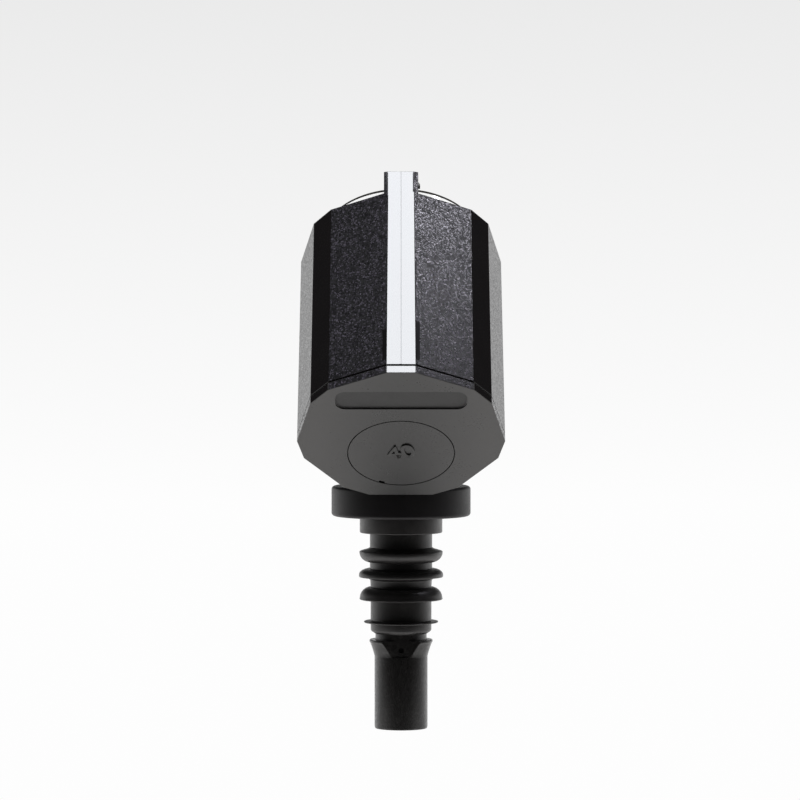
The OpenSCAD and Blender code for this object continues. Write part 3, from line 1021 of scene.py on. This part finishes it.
@dataclass
class BaseCover(SubAssembly):
    """The flat cover of the chamber's base, with its bare panel, and the measure plug in it."""

    section: Section
    wall: float = 1.6 * MM
    rim: float = 2 * MM
    skirt_wall: float = 1.2 * MM
    panel_len: float = 30 * MM
    panel_h: float = 6.5 * MM
    panel_depth: float = 0.4 * MM
    panel_round: float = 2.45 * MM  # radius of the panel's corners
    panel_soft: float = 0.2 * MM  # width of the soft edge round its floor
    panel_edge: float = 10.4 * MM  # distance of the panel's middle from the cover's upper edge
    plug_t: float = 1.2 * MM  # thickness of the plug's disc
    plug_ledge: float = 0.9 * MM  # width of the ledge under the disc
    plug_wall: float = 1.1 * MM
    notch_w: float = 1.4 * MM
    notch_depth: float = 0.6 * MM
    notch_angle: float = 112.0  # direction of the pry notch in degrees
    edge: float = 0.12 * MM
    seam_edge: float = 0.084 * MM
    joint: float = 0.22 * MM  # gap that shows round the plug
    number: str = "40"  # the measure that the plug carries
    number_h: float = 4.7 * MM
    number_size: float = 1.39  # size of the letters as a share of their height
    number_up: float = 0.6 * MM  # distance of the number's middle above the plug's middle
    number_rise: float = 0.26 * MM
    number_edge: float = 0.104 * MM
    number_turn: float = 14.0  # angle by which the plug sits turned, in degrees
    fit: float = 0.05 * MM  # gap between pieces that are pushed together

    @property
    def _plug_at(self) -> Vector:
        """Middle of the measure plug in the chamber's own frame."""
        return self.section.middle("measure_plug")

    @property
    def _panel_y(self) -> float:
        """Place of the bare panel's middle across the chamber."""
        return self.panel_edge - self.section.narrow_apothem

    def build(self) -> list[Piece]:
        """Models and dresses the cover, the plug and its number.

        Returns:
            The three pieces.
        """
        return [
            self.dress(self._cover(), SATIN, "base_cap"),
            self.dress(self._plug(), SATIN, "measure_plug"),
            self.dress(self._number(), SATIN),
        ]

    def _cover(self) -> Piece:
        """Models the cover with its skirt, its panel and the seat of the plug.

        Returns:
            The cover in the part's frame.
        """
        section, skirt = self.section, self.section.level("guide_tube")[0]
        cover = section.prism("base_cover", 0, 0, self.rim)
        with shaping(cover):
            soften(cover, self.edge, 3, lambda p, d: abs(d.z) > ALONG and section.outside(p))
            soften(cover, self.edge, 3, lambda p, d: p.z < NEAR and section.outside(p))
            soften(cover, self.seam_edge, 2, lambda p, d: abs(p.z - self.rim) < NEAR and section.outside(p))
        work(cover, self._panel_cutter(), Cut.AWAY)
        inset = self.wall + self.fit
        work(cover, section.prism("skirt", inset, self.rim / 2, skirt), Cut.JOIN)
        work(cover, section.prism("skirt inside", inset + self.skirt_wall, self.rim, skirt + PAST), Cut.AWAY)
        work(cover, self._plug_seat(), Cut.AWAY)
        close_up(cover, SEAM_GAP)
        self._finish_faces(cover)
        settle(cover, section.place)
        crisp(cover)
        return cover

    def _plug_seat(self) -> Piece:
        """Turns the cutting shape for the plug's seat.

        Returns:
            The shape in the chamber's own frame.
        """
        soft, plug_r = self.edge / 2, half_width("measure_plug")
        mouth, ledge = plug_r + soft + self.joint, plug_r - self.plug_ledge + self.fit
        top = self.rim + PAST
        seat = turned("plug seat", [
            (0, -PAST), (mouth, -PAST), (mouth, 0), *arc((mouth, soft), soft, -90, -180, 4),
            (plug_r + self.joint, self.plug_t), (ledge, self.plug_t), (ledge, top), (0, top),
        ])
        return settle(seat, Matrix.Translation(self._plug_at))

    def _panel_cutter(self) -> Piece:
        """Models the bare panel's shape: a bar with round corners and soft edges.

        Returns:
            The cutting shape in the chamber's own frame.
        """
        long, high, middle = self.panel_len / 2, self.panel_h / 2, self._panel_y
        cutter = bar("panel", (-long, middle - high, -PAST), (long, middle + high, self.panel_depth))
        with shaping(cutter):
            soften(cutter, self.panel_round, 20, lambda p, d: abs(d.z) > ALONG)
            soften(cutter, self.panel_soft, 3, lambda p, d: p.z > self.panel_depth - NEAR)
        return cutter

    def _finish_faces(self, cover: Piece) -> None:
        """Satin for the face, polish for the rim's narrow facets, grain for its wide ones, a duller panel.

        Args:
            cover: The cover in the chamber's own frame.
        """
        section, high = self.section, self.panel_h / 2
        SATIN.lay(cover)
        PANEL.lay(
            cover, lambda p, n: n.z < -ALONG and NEAR < p.z < self.rim / 2 and abs(p.y - self._panel_y) < high
        )
        GRAINED.lay(cover, lambda p, n: section.is_wide(n) and section.outside(p))
        POLISHED.lay(cover, lambda p, n: section.is_narrow(n) and section.outside(p))

    def _plug(self) -> Piece:
        """Models the measure plug with its spigot and pry notch.

        Returns:
            The plug in the part's frame.
        """
        soft, side = self.edge / 2, half_width("measure_plug")
        outer = side - self.plug_ledge
        inner = outer - self.plug_wall
        top = self.section.level("measure_plug")[1]
        plug = turned("measure_disc", [
            (0, 0), *arc((side - soft, soft), soft, -90, 0, 4), (side, self.plug_t), (outer, self.plug_t),
            (outer, top), (inner, top), (inner, self.plug_t), (0, self.plug_t),
        ])
        half = self.notch_w / 2
        notch = bar("pry notch", (side - self.notch_depth, -half, -PAST), (side + PAST, half, self.notch_depth))
        work(plug, settle(notch, spin(self.notch_angle)), Cut.AWAY)
        settle(plug, self.section.place @ Matrix.Translation(self._plug_at))
        crisp(plug)
        return plug

    def _number(self) -> Piece:
        """Models the measure's number, standing slightly proud of the plug.

        Returns:
            The number in the part's frame.
        """
        clear_selection()
        bpy.ops.object.text_add()
        words = bpy.context.object.data
        words.body = self.number
        words.align_x = words.align_y = "CENTER"
        words.size = self.number_h * self.number_size
        words.extrude = self.number_rise
        words.bevel_depth = self.number_edge
        words.bevel_resolution = 2
        bpy.ops.object.convert(target="MESH")
        number = named(bpy.context.object, "measure_number")
        settle(number, spin(-self.number_turn) @ spin(180, "X"))
        close_up(number)
        settle(number, self.section.place @ Matrix.Translation(self._plug_at - Vector((0, self.number_up, 0))))
        smooth(number, 40)
        return number


# Below the chamber: collar, stopper, stem and neck


@dataclass
class Collar(SubAssembly):
    """The ring that the pourer rests on, round the stopper's head."""

    edge: float = 0.8 * MM
    pocket_depth: float = 2 * MM
    pocket_r: float = 10.15 * MM
    bore_r: float = 6.15 * MM

    def build(self) -> list[Piece]:
        """Turns and dresses the collar.

        Returns:
            The collar.
        """
        low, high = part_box("collar")
        side = high.x - self.edge
        ring = turned("collar_ring", [
            (self.bore_r, self.pocket_depth), (self.pocket_r, self.pocket_depth), (self.pocket_r, low.z),
            *arc((side, low.z + self.edge), self.edge, -90, 0, 8),
            *arc((side, high.z - self.edge), self.edge, 0, 90, 8), (self.bore_r, high.z),
        ], FINE_SIDES)
        smooth(ring)
        return [self.dress(ring, COLLAR_BLACK, "collar")]


@dataclass
class Stopper(SubAssembly):
    """The elastomer sleeve with its plug land, three sealing lips and thin fin."""

    land_r: float = 9.8 * MM
    land_len: float = 4 * MM
    head_r: float = 9.6 * MM  # radius of the head inside the collar
    core_r: float = 7.4 * MM  # radius of the core above the lips
    low_core_r: float = 7.22 * MM  # radius of the core below them
    bore_r: float = 6.15 * MM
    lip_r: float = 10 * MM
    cup: Span = (-8.4 * MM, -11.0 * MM)  # levels of the first lip's rim and root
    # levels of the second lip's top, rim and bottom
    disc: tuple[float, float, float] = (-12.5 * MM, -14.0 * MM, -15.4 * MM)
    bell: Span = (-16.9 * MM, -19.5 * MM)  # levels of the third lip's top and rim
    fin_r: float = 8.8 * MM
    fin_at: float = -25.2 * MM
    end_r: float = 6.3 * MM
    edge: float = 0.25 * MM

    def build(self) -> list[Piece]:
        """Turns and dresses the stopper.

        Returns:
            The stopper.
        """
        low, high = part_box("stopper")
        sleeve = turned("stopper_sleeve", [
            (self.bore_r, high.z), (self.head_r, high.z), (self.head_r, 0), (self.land_r, -0.02 * MM),
            *arc((self.land_r - self.edge, -self.land_len + self.edge), self.edge, 0, -90, 4),
            *self._cup_lip(), *self._disc_lip(), *self._bell_lip(), *self._fin(),
            (self.low_core_r, low.z + 0.9 * MM), (self.low_core_r - 0.15 * MM, low.z + 0.55 * MM),
            (self.end_r, low.z), (self.bore_r, low.z),
        ], FINE_SIDES)
        smooth(sleeve, 35)
        return [self.dress(sleeve, RUBBER, "stopper")]

    def _cup_lip(self) -> list[Ring]:
        """First lip, a bowl that is widest at its upper rim.

        Returns:
            The lip's rings, from above.
        """
        rim, root = self.cup
        core, tip = self.core_r, self.lip_r
        bowl = self._dome(core, root, tip - 0.1 * MM, rim - 0.2 * MM)
        return [
            (core, -self.land_len), (core, rim + 0.95 * MM), (core + 0.35 * MM, rim + 0.65 * MM),
            (tip - 0.5 * MM, rim + 0.12 * MM), (tip - 0.2 * MM, rim), *reversed(bowl),
        ]

    def _disc_lip(self) -> list[Ring]:
        """Second lip, a disc with a round upper side that thins towards its edge.

        Returns:
            The lip's rings, from above.
        """
        top, rim, bottom = self.disc
        above = self._dome(self.core_r, top, self.lip_r, rim)
        below = self._flare(self.low_core_r + 0.1 * MM, bottom, self.lip_r - 0.1 * MM, rim - 0.55 * MM)
        return [*above, (self.lip_r, rim - 0.35 * MM), *reversed(below)]

    def _bell_lip(self) -> list[Ring]:
        """Third lip, a bell with a round shoulder and a flat underside.

        Returns:
            The lip's rings, from above.
        """
        top, rim = self.bell
        core, wide = self.low_core_r, self.lip_r - 0.2 * MM
        return [
            *self._dome(core, top, wide, rim), (wide + 0.08 * MM, rim - 0.15 * MM),
            (wide + 0.04 * MM, rim - 0.32 * MM), (wide - 0.15 * MM, rim - 0.42 * MM),
            (core + 0.3 * MM, rim - 0.46 * MM), (core, rim - 0.75 * MM),
        ]

    def _fin(self) -> list[Ring]:
        """The thin fin near the lower end, the same above and below.

        Returns:
            The fin's rings, from above.
        """
        root, tip = self.low_core_r, self.fin_r
        half = [(root, 0.4 * MM), (root + 0.2 * MM, 0.22 * MM), (tip - 0.1 * MM, 0.16 * MM), (tip, 0.08 * MM)]
        above = [(out, self.fin_at + up) for out, up in half]
        return above + [(out, self.fin_at - up) for out, up in reversed(half)]

    @staticmethod
    def _dome(core: float, root: float, edge: float, rim: float) -> list[Ring]:
        """A round curve from the core out to a lip's edge."""
        turns = [(math.sin(a), 1 - math.cos(a)) for a in QUARTER_TURN]
        return [(core + (edge - core) * out, root + (rim - root) * up) for out, up in turns]

    @staticmethod
    def _flare(core: float, root: float, edge: float, rim: float) -> list[Ring]:
        """A hollow curve from the core out to a lip's edge."""
        turns = [(1 - math.cos(a), math.sin(a)) for a in QUARTER_TURN]
        return [(core + (edge - core) * out, root + (rim - root) * up) for out, up in turns]


@dataclass
class Stem(SubAssembly):
    """The tube that hangs below the stopper, with a flared top, two flats and a snap hole."""

    radius: float = 6.3 * MM  # radius of the tube
    wall: float = 1.3 * MM
    flare_r: float = 7.5 * MM
    flare_h: float = 3.9 * MM
    hollow: float = 0.25  # share of a hollow in the flare's side, which is otherwise straight
    band: float = 0.5 * MM  # height of the straight band at the top edge
    ring: float = 0.25 * MM  # height of the plain ring under the flare
    flat: float = 5.95 * MM  # distance of the flats from the axis
    snap_r: float = 0.6 * MM
    snap_down: float = 2.2 * MM  # depth of the snap hole below the top
    edge: float = 0.15 * MM
    end_edge: float = 0.5 * MM  # height of the softened lower edge

    def build(self) -> list[Piece]:
        """Turns the stem, cuts its flats and its snap hole and dresses it.

        Returns:
            The stem.
        """
        low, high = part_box("stem_tube")
        bore, foot, wide = self.radius - self.wall, high.z - self.flare_h, 2 * self.flare_r
        tube = turned("stem", [
            (bore, high.z), (self.flare_r - self.edge, high.z), (self.flare_r, high.z - self.edge),
            *self._flare(high.z - self.band, foot), (self.radius, foot - self.ring),
            (self.radius, low.z + self.end_edge), (self.radius - self.edge, low.z), (bore, low.z),
        ])
        for side in (-1, 1):
            inner, outer = sorted((side * self.flat, side * 2 * self.flat))
            work(tube, bar("flat", (-wide, inner, foot), (wide, outer, high.z + PAST)), Cut.AWAY)
        hole = rod("snap way", self.snap_r, -wide, wide, HOLE_SIDES)
        settle(hole, Matrix.Translation((0, 0, high.z - self.snap_down)) @ spin(90, "X"))
        work(tube, hole, Cut.AWAY)
        close_up(tube)
        smooth(tube)
        return [self.dress(tube, STEM_BLACK, "stem_tube")]

    def _flare(self, top: float, foot: float) -> list[Ring]:
        """The flare's side, a slightly hollow curve that runs out into the tube.

        Args:
            top: Level of its upper end.
            foot: Level of its lower end.

        Returns:
            The flare's rings, from above.
        """
        spread, straight = self.flare_r - self.radius, 1 - self.hollow
        shares = [self.hollow * (1 - math.sin(a)) + straight * math.cos(a) for a in QUARTER_TURN]
        levels = [foot + (top - foot) * math.cos(a) for a in QUARTER_TURN]
        return [(self.radius + spread * share, level) for share, level in zip(shares, levels)]


@dataclass
class Neck(SubAssembly):
    """The rigid neck: its saddle on the chamber, the tube through the stopper and the stem's spigot."""

    section: Section
    radius: float = 8.5 * MM  # radius between the collar and the chamber
    tube_r: float = 6.1 * MM  # radius of the tube through the stopper
    bore_r: float = 3.8 * MM
    mouth_r: float = 6.5 * MM
    spigot_r: float = 4.95 * MM
    saddle_w: float = 3 * MM
    saddle_t: float = 1.4 * MM
    gasket_t: float = 0.5 * MM
    wall: float = 1.6 * MM
    floor: float = 2 * MM
    spare: float = 5 * MM  # length of the neck that the chamber's inside cuts off
    cleared: Span = (-60 * MM, 120 * MM)  # levels of the chamber's frame between which that inside is cut
    edge: float = 0.25 * MM

    def build(self) -> list[Piece]:
        """Turns the neck, fits it to the chamber's rear wall and dresses it.

        Returns:
            The neck.
        """
        low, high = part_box("neck_tube")
        foot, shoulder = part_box("collar")[1].z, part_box("stem_tube")[1].z
        floor, top = foot + self.floor, high.z + self.spare
        neck = turned("neck", [
            (self.bore_r, floor), (self.mouth_r, floor), (self.mouth_r, top), (self.radius, top),
            (self.radius, foot + self.edge), (self.radius - self.edge, foot), (self.tube_r, foot),
            (self.tube_r, shoulder), (self.spigot_r, shoulder), (self.spigot_r, low.z), (self.bore_r, low.z),
        ])
        inside = self.section.prism("chamber inside", self.wall, *self.cleared)
        work(neck, settle(inside, self.section.place), Cut.AWAY)
        work(neck, self._saddle(foot, high.z + self.saddle_w), Cut.JOIN)
        close_up(neck, SEAM_GAP)
        smooth(neck)
        return [self.dress(neck, STEM_BLACK, "neck_tube")]

    def _saddle(self, low: float, high: float) -> Piece:
        """Models the flange that follows the chamber's facets round the neck.

        Args:
            low: Lower level of the flange's trim.
            high: Upper level of the flange's trim.

        Returns:
            The flange in the part's frame.
        """
        start, end = self.section.seam, self.section.far
        flange = self.section.prism("saddle", -(self.gasket_t + self.saddle_t), start, end)
        work(flange, self.section.prism("saddle inside", -self.gasket_t, start - PAST, end + PAST), Cut.AWAY)
        settle(flange, self.section.place)
        inner, wide = self.radius - PAST, self.radius + self.saddle_w
        return work(flange, turned("saddle trim", band(inner, wide, low, high, (0, 0, 0, 0))), Cut.KEEP)


# Inner pieces that show through the clear cap and at the stem's end


@dataclass
class InnerParts(SubAssembly):
    """The clear cap, the tubes, the seats and the balls inside the pourer."""

    section: Section
    cap_wall: float = 1.1 * MM
    cap_round: float = 0.8 * MM  # radius of the clear cap's rounded edge
    cap_band: float = 0.255 * MM  # height of the painted dark band below that rounding, painted shade on the clear rim
    guide_wall: float = 0.8 * MM
    window_w: float = 3 * MM
    window_len: float = 8 * MM
    window_turns: Span = (45, 135)  # directions of the windows in degrees
    post_grip: float = 3 * MM  # length of the post inside the guide tube
    breather_wall: float = 0.4 * MM
    cup_wall: float = 1.1 * MM
    cup_round: float = 0.6 * MM  # radius of the displacer cup's rounded edge
    seat_hole: float = 2.9 * MM
    edge: float = 0.15 * MM
    # CAD nodes that stay in view, with their finishes
    kept: tuple[tuple[str, Finish], ...] = (
        ("base_gasket", SEAL), ("neck_gasket", SEAL), ("outlet_block", SATIN), ("tube_clip", NATURAL),
        ("ball_retainer", NATURAL),
    )

    def build(self) -> list[Piece]:
        """Models and dresses the inner pieces, and finishes the CAD nodes that stay.

        Returns:
            All these pieces.
        """
        return [
            self.dress(self._clear_cap(), CLEAR, "sight_cap"),
            self.dress(self._ring("cap_seal", "sight_seal"), SEAL, "sight_seal"),
            self.dress(self._guide(), NATURAL, "guide_tube"),
            self.dress(self._breather(), NATURAL, "breather_tube"),
            self.dress(self._cup(), NATURAL, "displacer_cup"),
            self.dress(self._ring("outlet_ring", "outlet_seat"), SEAL, "outlet_seat"),
            self.dress(self._stem_seat(), SEAL, "stem_seat"),
            self.dress(self._ball("shut_ball", "shut_off_ball"), STEEL, "shut_off_ball", "shut_off_ball"),
            self.dress(self._ball("check_ball", "stem_ball"), STEEL, "stem_ball", "stem_ball"),
            *(self._keep(frame["nodes"][node], finish) for node, finish in self.kept),
        ]

    @staticmethod
    def _keep(node: Piece, finish: Finish) -> Piece:
        """Gives a CAD node that stays in view its finish.

        Args:
            node: The CAD node's object.
            finish: The finish that it gets.

        Returns:
            The same object.
        """
        node.data.materials.clear()
        finish.lay(node)
        return node

    def _set(self, piece: Piece, node: str) -> Piece:
        """Smooths a turned piece and moves it to its node's place in the chamber."""
        smooth(piece)
        return settle(piece, self.section.place @ Matrix.Translation(self.section.middle(node)))

    def _clear_cap(self) -> Piece:
        """Turns the clear cap of the far end.

        Returns:
            The cap in the part's frame.
        """
        low, high = self.section.level("sight_cap")
        side, edge, bend = half_width("sight_cap"), self.edge, self.cap_round
        bore, under, soft = side - self.cap_wall, high - self.cap_wall, bend / 2
        rim = high - bend - self.cap_band
        cap = turned("clear_cap", [
            (0, under), *reversed(arc((bore - soft, under - soft), soft, 0, 90, 4)), (bore, low + edge),
            (bore + edge, low), (side - edge, low), (side, low + edge), (side, rim),
            *arc((side - bend, high - bend), bend, 0, 90, 6), (0, high),
        ], FINE_SIDES)
        CLEAR.lay(cap)
        # Painted shade: the rounded rim and the band below it get an opaque dark finish in place of clear
        # plastic.
        CLEAR_RIM_PAINTED_SHADE.lay(cap, lambda p, n: p.z > rim and side - bend < p.xy.length and n.z > -UPRIGHT)
        return self._set(cap, "sight_cap")

    def _tube(
        self, name: str, node: str, hole: float, soft: tuple[int, int, int, int], sides: int = 96
    ) -> Piece:
        """Turns a plain tube inside the chamber.

        Args:
            name: The piece's name.
            node: The CAD node that it stands for.
            hole: Radius of its bore.
            soft: Which edges are softened: inner low, outer low, outer high and inner high.
            sides: Number of sides.

        Returns:
            The tube in the chamber's own frame.
        """
        low, high = self.section.level(node)
        return turned(name, band(hole, half_width(node), low, high, [self.edge * on for on in soft]), sides)

    def _ring(self, name: str, node: str) -> Piece:
        """Turns a soft ring inside the chamber."""
        return self._set(self._tube(name, node, self.section.hole(node), (1, 1, 1, 1)), node)

    def _guide(self) -> Piece:
        """Turns the guide tube and cuts its windows.

        Returns:
            The tube in the part's frame.
        """
        node = "guide_tube"
        side, half, start = half_width(node), self.window_w / 2, self.section.level(node)[0] + self.post_grip
        tube = self._tube("guide", node, side - self.guide_wall, (0, 1, 0, 0))
        for turn in self.window_turns:
            window = bar("window", (-2 * side, -half, start), (2 * side, half, start + self.window_len))
            work(tube, settle(window, spin(turn)), Cut.AWAY)
        return self._set(tube, node)

    def _breather(self, node: str = "breather_tube") -> Piece:
        """Turns the breather tube."""
        hole = half_width(node) - self.breather_wall
        return self._set(self._tube("breather", node, hole, (0, 1, 1, 0), 40), node)

    def _cup(self) -> Piece:
        """Turns the displacer cup behind the measure plug.

        Returns:
            The cup in the part's frame.
        """
        low, high = self.section.level("displacer_cup")
        side, edge = half_width("displacer_cup"), self.cup_round
        bore, under = side - self.cup_wall, high - self.cup_wall
        return self._set(turned("displacer", [
            (0, under), (bore, under), (bore, low), (side, low),
            *arc((side - edge, high - edge), edge, 0, 90, 5), (0, high),
        ]), "displacer_cup")

    def _ball(self, name: str, node: str) -> Piece:
        """Turns a ball at its resting place.

        Args:
            name: The piece's name.
            node: The CAD node that it stands for.

        Returns:
            The ball in the part's frame.
        """
        low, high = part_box(node)
        radius = (high.x - low.x) / 2
        made = turned(name, [(0, -radius), *arc((0, 0), radius, -84, 84, 28), (0, radius)], 64)
        settle(made, Matrix.Translation((low + high) / 2))
        smooth(made, 60)
        return made

    def _stem_seat(self) -> Piece:
        """Turns the soft seat at the top of the stem.

        Returns:
            The seat in the part's frame.
        """
        low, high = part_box("stem_seat")
        made = turned("stem_seat_ring", band(self.seat_hole, high.x, low.z, high.z, (self.edge, 0, 0, 0)))
        smooth(made)
        return made


# Room: floor, light and camera


@dataclass(frozen=True)
class Softbox:
    """A softbox over the part."""

    name: str
    at: Place  # its middle
    size: float
    level: float  # brightness of its face
    tint: Colour

    def hang(self, towards: Place) -> None:
        """Hangs the softbox so that it faces a point.

        Args:
            towards: The point that it faces.
        """
        clear_selection()
        bpy.ops.object.light_add(type="AREA", location=self.at)
        lamp = bpy.context.object
        lamp.name = self.name
        lamp.data.shape = "RECTANGLE"
        lamp.data.size = lamp.data.size_y = self.size
        lamp.data.energy = self.level * self.size * self.size * math.pi
        lamp.data.color = self.tint
        lamp.rotation_euler = (Vector(towards) - Vector(self.at)).to_track_quat("-Z", "Y").to_euler()
        lamp.visible_camera = False


@dataclass
class Studio:
    """Plain pale floor, soft studio light and the camera."""

    floor_down: float = 0.27  # depth of the floor below the part's origin
    floor_r: float = 1.1
    floor_edge: Span = (0.45, 0.98)  # shares of that radius between which the floor fades out
    floor_front: Span = (-0.4, -0.12)  # shares of that radius between which it fades out towards the camera
    paper: Colour = (0.86, 0.85, 0.83)  # colour of the floor
    paper_glow: Colour = (1, 0.975, 0.95)  # colour of the lit floor's own light
    table: float = 0.65  # brightness of that light
    sky: Span = (0.985, 0.83)  # brightness of the backdrop low down and high up, as the eye sees it
    horizon: Span = (-0.06, 0.05)  # heights between which it changes
    glow: float = 1.3  # brightness of the bright end of the room, as the part mirrors it
    glow_back: Span = (-0.45, 0.75)  # range of directions, from front to back, over which that end begins
    glow_up: Span = (0.12, 0.32)  # range of heights over which it ends
    gloom: float = 0.03  # brightness of the rest of the room, as the part mirrors it
    softboxes: tuple[Softbox, ...] = (
        Softbox("top softbox", (0, -0.245, 0.96), 0.42, 19.3, (0.97, 0.99, 1.03)),
        Softbox("right softbox", (0.205, 0.011, 0.334), 0.044, 27.0, (0.96, 0.95, 1.05)),
    )
    middle: Place = (0, -0.034, 0.062)  # the point that they face
    camera_at: Place = (-0.00025, -1.075, 0.0680)
    camera_pitch: float = 2.16  # tilt of the camera below level, in degrees
    lens: float = 204.2  # focal length in millimetres for the sensor
    sensor: float = 36.0  # width of the sensor in millimetres
    nearest: float = 0.05  # nearest distance that the camera sees

    def build(self) -> None:
        """Sets up the floor, the backdrop, the lights and the camera."""
        self._floor()
        self._backdrop()
        for softbox in self.softboxes:
            softbox.hang(self.middle)
        self._camera()
        bpy.context.scene.view_settings.view_transform = "Standard"

    def _floor(self) -> None:
        """Lays a round white floor that fades out at its edge."""
        clear_selection()
        bpy.ops.mesh.primitive_circle_add(
            vertices=96, radius=self.floor_r, fill_type="NGON", location=(0, 0, -self.floor_down)
        )
        floor = settle(named(bpy.context.object, "floor"))
        made = bpy.data.materials.new("floor paper")
        made.use_nodes = True
        nodes, tree = made.node_tree.nodes, Tree(made.node_tree)
        place = tree.add("TexCoord", {}, "Object")
        edge, front = ([self.floor_r * share for share in span] for span in (self.floor_edge, self.floor_front))
        beyond = tree.ramp(tree.length(place), edge, (0, 1), Curve.EASED)
        before = tree.ramp(tree.add("SeparateXYZ", {0: place}, "Y"), front, (1, 0), Curve.EASED)
        white = nodes["Principled BSDF"]
        tree.feed(white, {
            "Base Color": (*self.paper, 1), "Roughness": 0.8, "Specular IOR Level": 0.0,
            "Emission Color": (*self.paper_glow, 1), "Emission Strength": self.table,
        })
        share = tree.math("MAXIMUM", beyond, before)
        fading = tree.add("MixShader", {0: share, 1: white.outputs[0], 2: tree.add("BsdfTransparent", {})})
        tree.feed(nodes["Material Output"], {"Surface": fading})
        floor.data.materials.append(made)

    def _backdrop(self) -> None:
        """White for the eye; for what the part mirrors, bright low behind it and dark elsewhere."""
        world = bpy.data.worlds.new("studio")
        bpy.context.scene.world = world
        world.use_nodes = True
        nodes, tree = world.node_tree.nodes, Tree(world.node_tree)
        nodes.clear()
        way = tree.add("TexCoord", {}, "Generated")
        back, up = (tree.add("SeparateXYZ", {0: way}, axis) for axis in ("Y", "Z"))
        behind = tree.ramp(back, self.glow_back, (0, 1), Curve.EASED)
        low = tree.ramp(up, self.glow_up, (1, 0), Curve.EASED)
        mirrored = tree.ramp(tree.math("MULTIPLY", behind, low), (0, 1), (self.gloom, self.glow))
        seen = tree.ramp(up, self.horizon, self.sky)
        eye = tree.add("LightPath", {}, "Is Camera Ray")
        level = tree.add("Mix", {0: eye, 2: mirrored, 3: seen}, data_type="FLOAT")
        light = tree.add("Background", {"Color": (1, 1, 1, 1), "Strength": level})
        tree.feed(nodes.new("ShaderNodeOutputWorld"), {"Surface": light})

    def _camera(self) -> None:
        """Sets the camera at the viewing angle."""
        clear_selection()
        tilt = (math.radians(90 - self.camera_pitch), 0, 0)
        bpy.ops.object.camera_add(location=self.camera_at, rotation=tilt)
        camera = bpy.context.object
        camera.name = "camera"
        camera.data.sensor_width = self.sensor
        camera.data.lens = self.lens
        camera.data.clip_start = self.nearest
        bpy.context.scene.camera = camera


def main() -> None:
    """Builds every sub-assembly in order, then the room."""
    logging.basicConfig(level=logging.INFO, format="%(name)s %(message)s")
    section = Section()
    for assembly in (
        Chamber(section), BaseCover(section), Collar(), Stopper(), Stem(), Neck(section), InnerParts(section),
    ):
        for piece in assembly.build():
            log.info("%s: %d faces", piece.name, len(piece.data.polygons))
    Studio().build()


if __name__ == "__main__":
    main()
